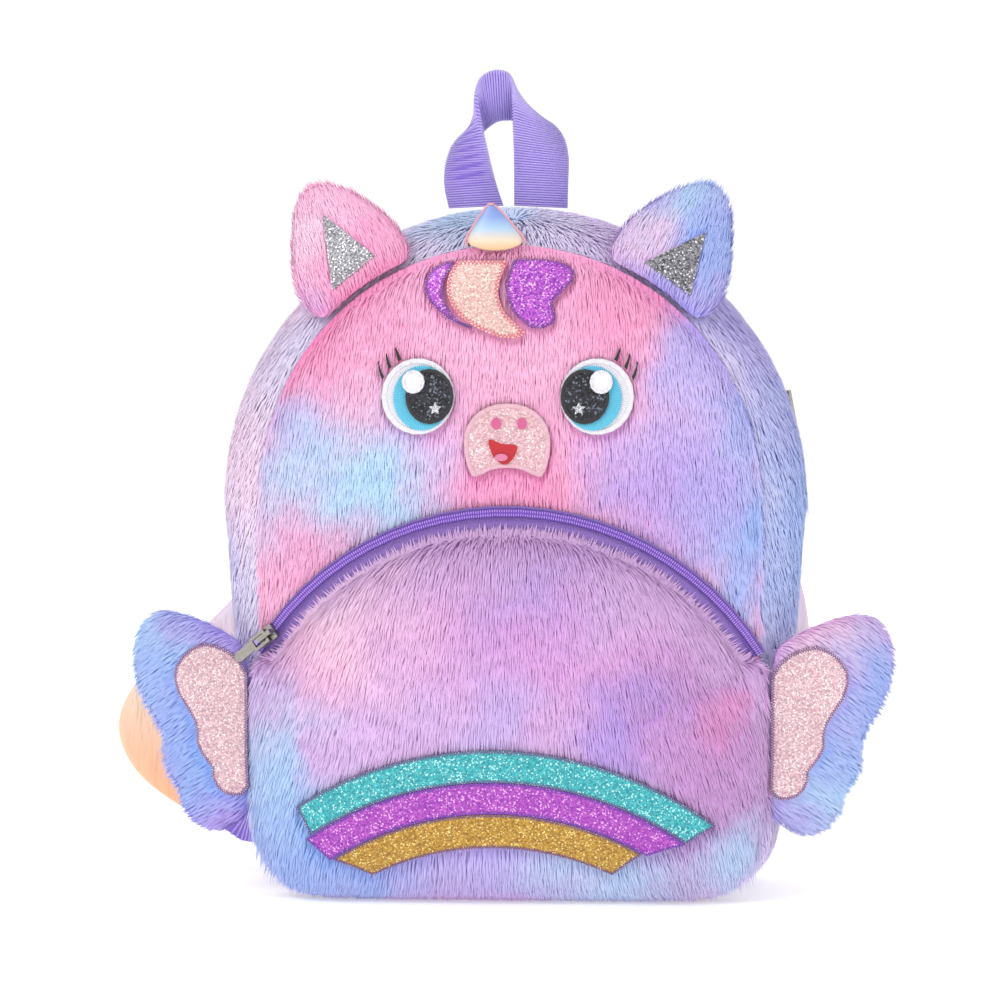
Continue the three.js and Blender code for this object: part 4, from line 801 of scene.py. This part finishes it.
def path_mesh(name, points, ups, across=None, closed=False, reach=None):
    """A line of points. Each keeps the direction away from the cloth and the one across the line."""
    mesh = bpy.data.meshes.new(name)
    count = len(points)
    points, ups = np.array(points), np.array(ups)
    if across is None:
        ahead = np.roll(points, -1, axis=0) - np.roll(points, 1, axis=0)
        across = np.cross(ups, ahead)
        across /= np.linalg.norm(across, axis=1)[:, None]
    mesh_across = np.ascontiguousarray(across)
    edges = [(i, (i + 1) % count) for i in range(count if closed else count - 1)]
    mesh.from_pydata([tuple(point) for point in points], edges, [])
    mesh.attributes.new("up", "FLOAT_VECTOR", "POINT").data.foreach_set("vector", ups.ravel())
    mesh.attributes.new("across", "FLOAT_VECTOR", "POINT").data.foreach_set("vector", mesh_across.ravel())
    share = np.ones(count) if reach is None else np.array(reach)
    mesh.attributes.new("reach", "FLOAT", "POINT").data.foreach_set("value", share)
    return mesh


STITCH_TREE = stitch_tree()
STITCH = bar_object("stitch", [(-0.5, 0.35), (-0.3, 1.0), (0.3, 1.0), (0.5, 0.35)])
RIB = bar_object("rib", [(-0.5, 0.9), (0.5, 0.9)], 6)


def lay(path, name, material, pitch, length, width, rise=None, lean=0.0, shift=0.0, bar=None):
    """Bars along a path. All sizes in mm."""
    return run_tree(path, STITCH_TREE, {
        "Bar": bar or STITCH, "Pitch": pitch * MM, "Length": length * MM, "Width": width * MM,
        "Rise": (rise or width) * MM, "Lean": lean, "Shift": shift * MM, "Material": MATERIALS[material]}, name)


print("stitch tree:", len(STITCH_TREE.nodes), "nodes")

# %% [markdown]
# The edge to stitch is read from the solid itself: it is where the faces that look out meet the
# ones that look sideways.

# %% Edge stitching


def front_edge(node, toward=(0, -1, 0)):
    """The outline of a node's outer face as ordered points, with the face's normal at each."""
    work = bmesh.new()
    work.from_mesh(nodes[node].data)
    bmesh.ops.remove_doubles(work, verts=work.verts, dist=0.02 * MM)
    work.normal_update()
    toward = Vector(toward)
    front = {face for face in work.faces if face.normal.dot(toward) > 0.35}
    beside = {}
    for edge in work.edges:
        seen = [face for face in edge.link_faces if face in front]
        if len(seen) == 1:
            for vertex, other in (edge.verts, reversed(edge.verts)):
                beside.setdefault(vertex, []).append((other, seen[0].normal.copy()))
    start = next(iter(beside))
    order, last, here = [start], None, start
    while True:
        onward = [other for other, _ in beside[here] if other is not last]
        last, here = here, onward[0]
        if here is start or len(order) > len(beside):
            break
        order.append(here)
    points = [vertex.co.copy() for vertex in order]
    ups = [sum((normal for _, normal in beside[vertex]), Vector()).normalized() for vertex in order]
    area = sum(a.x * b.z - b.x * a.z for a, b in zip(points, points[1:] + points[:1]))
    if area < 0:
        points.reverse()
        ups.reverse()
    work.free()
    return points, ups


threads = []


def edge_stitch(node, material, pitch, length, width, lean=0.0, inside=0.5):
    points, ups = front_edge(node)
    path = path_mesh(node, points, ups, closed=True)
    threads.append((lay(path, f"{node}_thread", material, pitch, length, width, lean=lean, shift=inside), node))


ZIGZAG = {"pitch": 0.62, "length": 2.0, "width": 0.32, "lean": 0.5}
SATIN = {"pitch": 0.4, "width": 0.5}
for side in ("left", "right"):
    edge_stitch(f"eye_white_{side}", "white_thread", length=2.6, inside=1.0, **SATIN)
    edge_stitch(f"eye_pupil_{side}", "black_thread", length=1.7, inside=0.6, **SATIN)
    edge_stitch(f"eye_highlight_{side}", "white_thread", length=1.8, inside=0.7, **SATIN)
    edge_stitch(f"wing_inner_{side}", "purple_thread", inside=0.6, **ZIGZAG)
for node in ("forelock_left", "forelock_right"):
    edge_stitch(node, "purple_thread", inside=0.6, **ZIGZAG)
edge_stitch("forelock_middle", "coral_thread", inside=0.8, pitch=0.9, length=2.6, width=0.36, lean=0.7)
edge_stitch("muzzle", "pink_thread", length=2.2, inside=0.9, **SATIN)
for node, tint in (("rainbow_outer", "purple_thread"), ("rainbow_middle", "violet_thread"),
                   ("rainbow_inner", "purple_thread")):
    edge_stitch(node, tint, inside=0.5, **ZIGZAG)
print("thread work:", sum(len(piece.data.polygons) for piece, _ in threads), "faces")

# %% [markdown]
# The zips, the handle and the webbing are bands. A band's rows of points are found again by walking
# its solid from one end cap to the other. They give a centre line with the direction out of the band.

# %% Bands


def walk(start):
    """The points of a mesh by the number of edges from a start."""
    rings, seen = [set(start)], set(start)
    while rings[-1]:
        rings.append({edge.other_vert(vertex) for vertex in rings[-1] for edge in vertex.link_edges} - seen)
        seen |= rings[-1]
    return rings[:-1]


def band_rows(node, out, section):
    """Centre, direction out, direction across and width of each row of a band."""
    work = bmesh.new()
    work.from_mesh(nodes[node].data)
    bmesh.ops.remove_doubles(work, verts=work.verts, dist=0.02 * MM)
    work.verts.ensure_lookup_table()
    tip = min(walk([work.verts[0]])[-1], key=lambda vertex: vertex.index)
    far_end = set().union(*walk([tip])[len(work.verts) // section - 1:])
    rows = [np.array([vertex.co for vertex in ring]) for ring in walk(far_end)]
    work.free()
    centres = np.array([row.mean(axis=0) for row in rows])
    along = np.gradient(centres, axis=0)
    across = np.array([np.linalg.svd(row - centre)[2][0] for row, centre in zip(rows, centres)])
    for i in range(1, len(across)):
        if across[i] @ across[i - 1] < 0:
            across[i] *= -1
    ups = np.cross(across, along)
    ups /= np.linalg.norm(ups, axis=1)[:, None]
    if ups[len(ups) // 2] @ np.array(out, float) < 0:
        ups, across = -ups, -across
    widths = np.array([np.ptp((row - centre) @ way) for row, centre, way in zip(rows, centres, across)])
    return centres, ups, across, widths


def band_path(node, section, lift_mm=0.0, out=FRONT):
    """The centre line of a band, raised out of it. Gives the path and the band's width in mm."""
    centres, ups, across, widths = band_rows(node, out, section)
    path = path_mesh(node, centres + ups * lift_mm * MM, ups, across, reach=widths / widths.max())
    return path, widths.max() / MM


print("bands: rows of the handle", len(band_rows("handle", FRONT, 4)[0]))

# %% [markdown]
# The pocket zip is a coil zip. A spiral of nylon is pressed into two rows of teeth that lean into each
# other, a line of lock stitches on each side holds it to the tape, and the tape is a close twill.

# %% Zip teeth and webbing ribs
TOOTH = {"length": 1.75, "width": 0.52, "rise": 0.9, "pitch": 1.05}
path, _ = band_path("pocket_zip_coil", 6, 0.75)
for row, shift in (("upper", 0.88), ("lower", -0.88)):
    threads.append((lay(path.copy(), f"zip_teeth_{row}", "zip_tooth", shift=shift, **TOOTH), "pocket_zip_coil"))
    threads.append((lay(path.copy(), f"zip_lockstitch_{row}", "deep_thread", pitch=1.3, length=0.62, width=0.75,
                        rise=0.9, shift=shift * 2.2), "pocket_zip_coil"))

RIB_PITCH_MM = 1.12
for node, rise in (("handle", 2.5), ("strap_webbing_left", 2.0), ("strap_webbing_right", 2.0)):
    path, wide = band_path(node, 4, out=BACK)
    threads.append((lay(path, f"{node}_ribs", "rib", RIB_PITCH_MM, wide * 1.01, 0.82, rise=rise, bar=RIB), node))
for bar in (STITCH, RIB):
    bpy.data.objects.remove(bar)
print("zip and webbing:", [piece.name for piece, _ in threads[-7:]])

# %% [markdown]
# The horn is a small stuffed cone of satin that fades from blue to cream, with a pink piped seam and
# a gilt hem. The shoulder straps are the same kind of satin over wadding, drawn into creases.

# %% Horn and straps
BULGE = {"height": 64, "reach": 45, "from": 110, "out": 14}


def tube(name, points, radius_mm, material, closed=False):
    """A round cord along points."""
    curve = bpy.data.curves.new(name, "CURVE")
    curve.dimensions = "3D"
    curve.bevel_depth = radius_mm * MM
    curve.bevel_resolution = 2
    curve.use_fill_caps = True
    line = curve.splines.new("POLY")
    line.points.add(len(points) - 1)
    line.points.foreach_set("co", np.array([(*point, 1.0) for point in points]).ravel())
    line.use_cyclic_u = closed
    holder = bpy.data.objects.new(name, curve)
    bpy.context.scene.collection.objects.link(holder)
    graph = bpy.context.evaluated_depsgraph_get()
    mesh = bpy.data.meshes.new_from_object(holder.evaluated_get(graph), depsgraph=graph)
    bpy.data.objects.remove(holder)
    mesh.shade_smooth()
    return link(mesh, name, MATERIALS[material])


horn_skin = rounded(merged_copy("horn", "horn_skin", MATERIALS["horn"]), 1)
outline, _ = front_edge("horn")
foot = min(point.z for point in outline) + 2.2 * MM
piping = [point for point in outline if point.z > foot]
turn = max(range(len(piping)), key=lambda i: (piping[i] - piping[i - 1]).length)
threads.append((tube("horn_piping", piping[turn:] + piping[:turn], 0.55, "piping"), "horn"))
strap_skins = {word: rounded(merged_copy(word, f"{word}_skin", MATERIALS["satin"]), 2)
               for word in ("shoulder_strap_left", "shoulder_strap_right")}
bulging = strap_skins["shoulder_strap_left"].data
place, _ = mesh_arrays(bulging)
rise = np.clip(1 - ((place[:, 2] / MM - BULGE["height"]) / BULGE["reach"]) ** 2, 0, 1)
aside = np.clip((-place[:, 0] / MM - BULGE["from"]) / 50, 0, 1)
place[:, 0] -= rise * aside * BULGE["out"] * MM
bulging.vertices.foreach_set("co", place.ravel())
bulging.update()
print("horn and straps:", len(horn_skin.data.polygons), "faces on the horn")

# %% [markdown]
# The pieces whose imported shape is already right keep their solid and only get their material.

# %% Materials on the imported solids
WORN = {
    "muzzle": "muzzle", "mouth": "mouth", "tongue": "tongue", "rainbow_outer": "teal",
    "rainbow_middle": "magenta", "rainbow_inner": "gold", "forelock_middle": "lock_cream",
    "main_zip": "tape", "pocket_zip_tape": "tape", "pocket_zip_coil": "coil", "handle": "webbing",
    "main_zip_slider": "nickel", "pocket_zip_slider": "nickel", "pocket_zip_pull": "nickel",
}
SIDED = {
    "forelock": "lock_purple", "ear_inner": "ear_silver", "wing_inner": "wing_film", "nostril": "nostril",
    "eye_pupil": "sequin", "eye_star": "star", "eye_highlight": "white_thread", "strap_webbing": "webbing", "strap_adjuster": "adjuster",
}
for side in ("left", "right"):
    WORN.update({f"{node}_{side}": material for node, material in SIDED.items()})
    WORN.update({f"eye_lash_{side}_{i}": "lash" for i in (1, 2, 3)})
for node, material in WORN.items():
    nodes[node].material_slots[0].material = MATERIALS[material]


def middle(node):
    """The middle of a node in the front view, in mm."""
    place, _ = mesh_arrays(nodes[node].data)
    spot = (place.min(axis=0) + place.max(axis=0)) / 2 / MM
    return spot[0], spot[2]


for side in ("left", "right"):
    for part, tint in (("white", "#f6f3fb"), ("iris", "#5fd0f2")):
        node = f"eye_{part}_{side}"
        nodes[node].material_slots[0].material = stitched(f"{part} satin, {side} eye", tint, middle(node))
print("materials set on", len(WORN) + 4, "nodes")

# %% [markdown]
# Floor and light. The picture is a studio one: a pale floor, a bright surround and large soft lamps,
# so that shadows are faint. The floor and lamps are stage, not part of the bag. The floor glows a
# little, as a lit table does, so that no horizon shows.

# %% Stage
FLOOR_HALF = 6.0
floor_mesh = bpy.data.meshes.new("floor")
floor_mesh.from_pydata([(x * FLOOR_HALF, y * FLOOR_HALF, -0.0005) for x, y in ((-1, -1), (1, -1), (1, 1), (-1, 1))],
                       [], [(0, 1, 2, 3)])
floor_material, _ = new_material("pale studio floor")
finish_material(floor_material, colour("#ffffff"), roughness=1.0, specular_ior_level=0.0,
                emission_color=colour("#ffffff"), emission_strength=0.34)
floor = link(floor_mesh, "floor", floor_material)

world = bpy.data.worlds.new("studio")
world.use_nodes = True
surround = world.node_tree.nodes["Background"]
surround.inputs[0].default_value = colour("#ffffff")
seen = add_node(world.node_tree, "ShaderNodeLightPath").outputs["Is Camera Ray"]
strength = add_node(world.node_tree, "ShaderNodeMapRange", {"Value": seen, "To Min": 0.74, "To Max": 1.05})
world.node_tree.links.new(strength.outputs[0], surround.inputs[1])
bpy.context.scene.world = world


def lamp(name, place, target, size, power):
    data = bpy.data.lights.new(name, "AREA")
    data.shape = "DISK"
    data.size = size
    data.energy = power
    holder = bpy.data.objects.new(name, data)
    holder.location = Vector(place)
    holder.rotation_euler = (Vector(place) - Vector(target)).to_track_quat("Z", "Y").to_euler()
    bpy.context.scene.collection.objects.link(holder)


lamp("key", (-0.9, -1.3, 1.3), (0, 0, 0.17), 0.9, 11)
lamp("fill", (1.2, -1.2, 0.6), (0, 0, 0.17), 1.2, 4)
lamp("back", (0, 1.4, 1.3), (0, 0, 0.17), 1.0, 7)
bpy.context.scene.view_settings.view_transform = "Standard"
print("stage ready")

# %% [markdown]
# Last, every piece is told which body it rides on, and each skin hides the imported node that it stands for.

# %% Riding
SKIN_NODES = {"face_skin": "front_panel", "pocket_skin": "pocket_panel", "side_skin": "gusset",
              "back_skin": "back_panel", "horn_skin": "horn"}
SKIN_NODES.update({f"{word}_skin": word for word in (*pads, *strap_skins)})
SKIN_NODES["pocket_rim_skin"] = "pocket_panel"


def belongs(piece, node, replaces=True, body=BAG):
    """Rides on a body and, if it replaces the node, hides the node."""
    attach(piece, body)
    if replaces:
        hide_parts(node)


for piece in (face_skin, pocket_skin, side_skin, back_skin, horn_skin, *pads.values(), *strap_skins.values()):
    belongs(piece, SKIN_NODES[piece.name])
for fur in furs:
    belongs(fur, SKIN_NODES[fur.name.replace("_fur", "_skin")], replaces=False)
for piece, node in threads:
    belongs(piece, node, replaces=False)
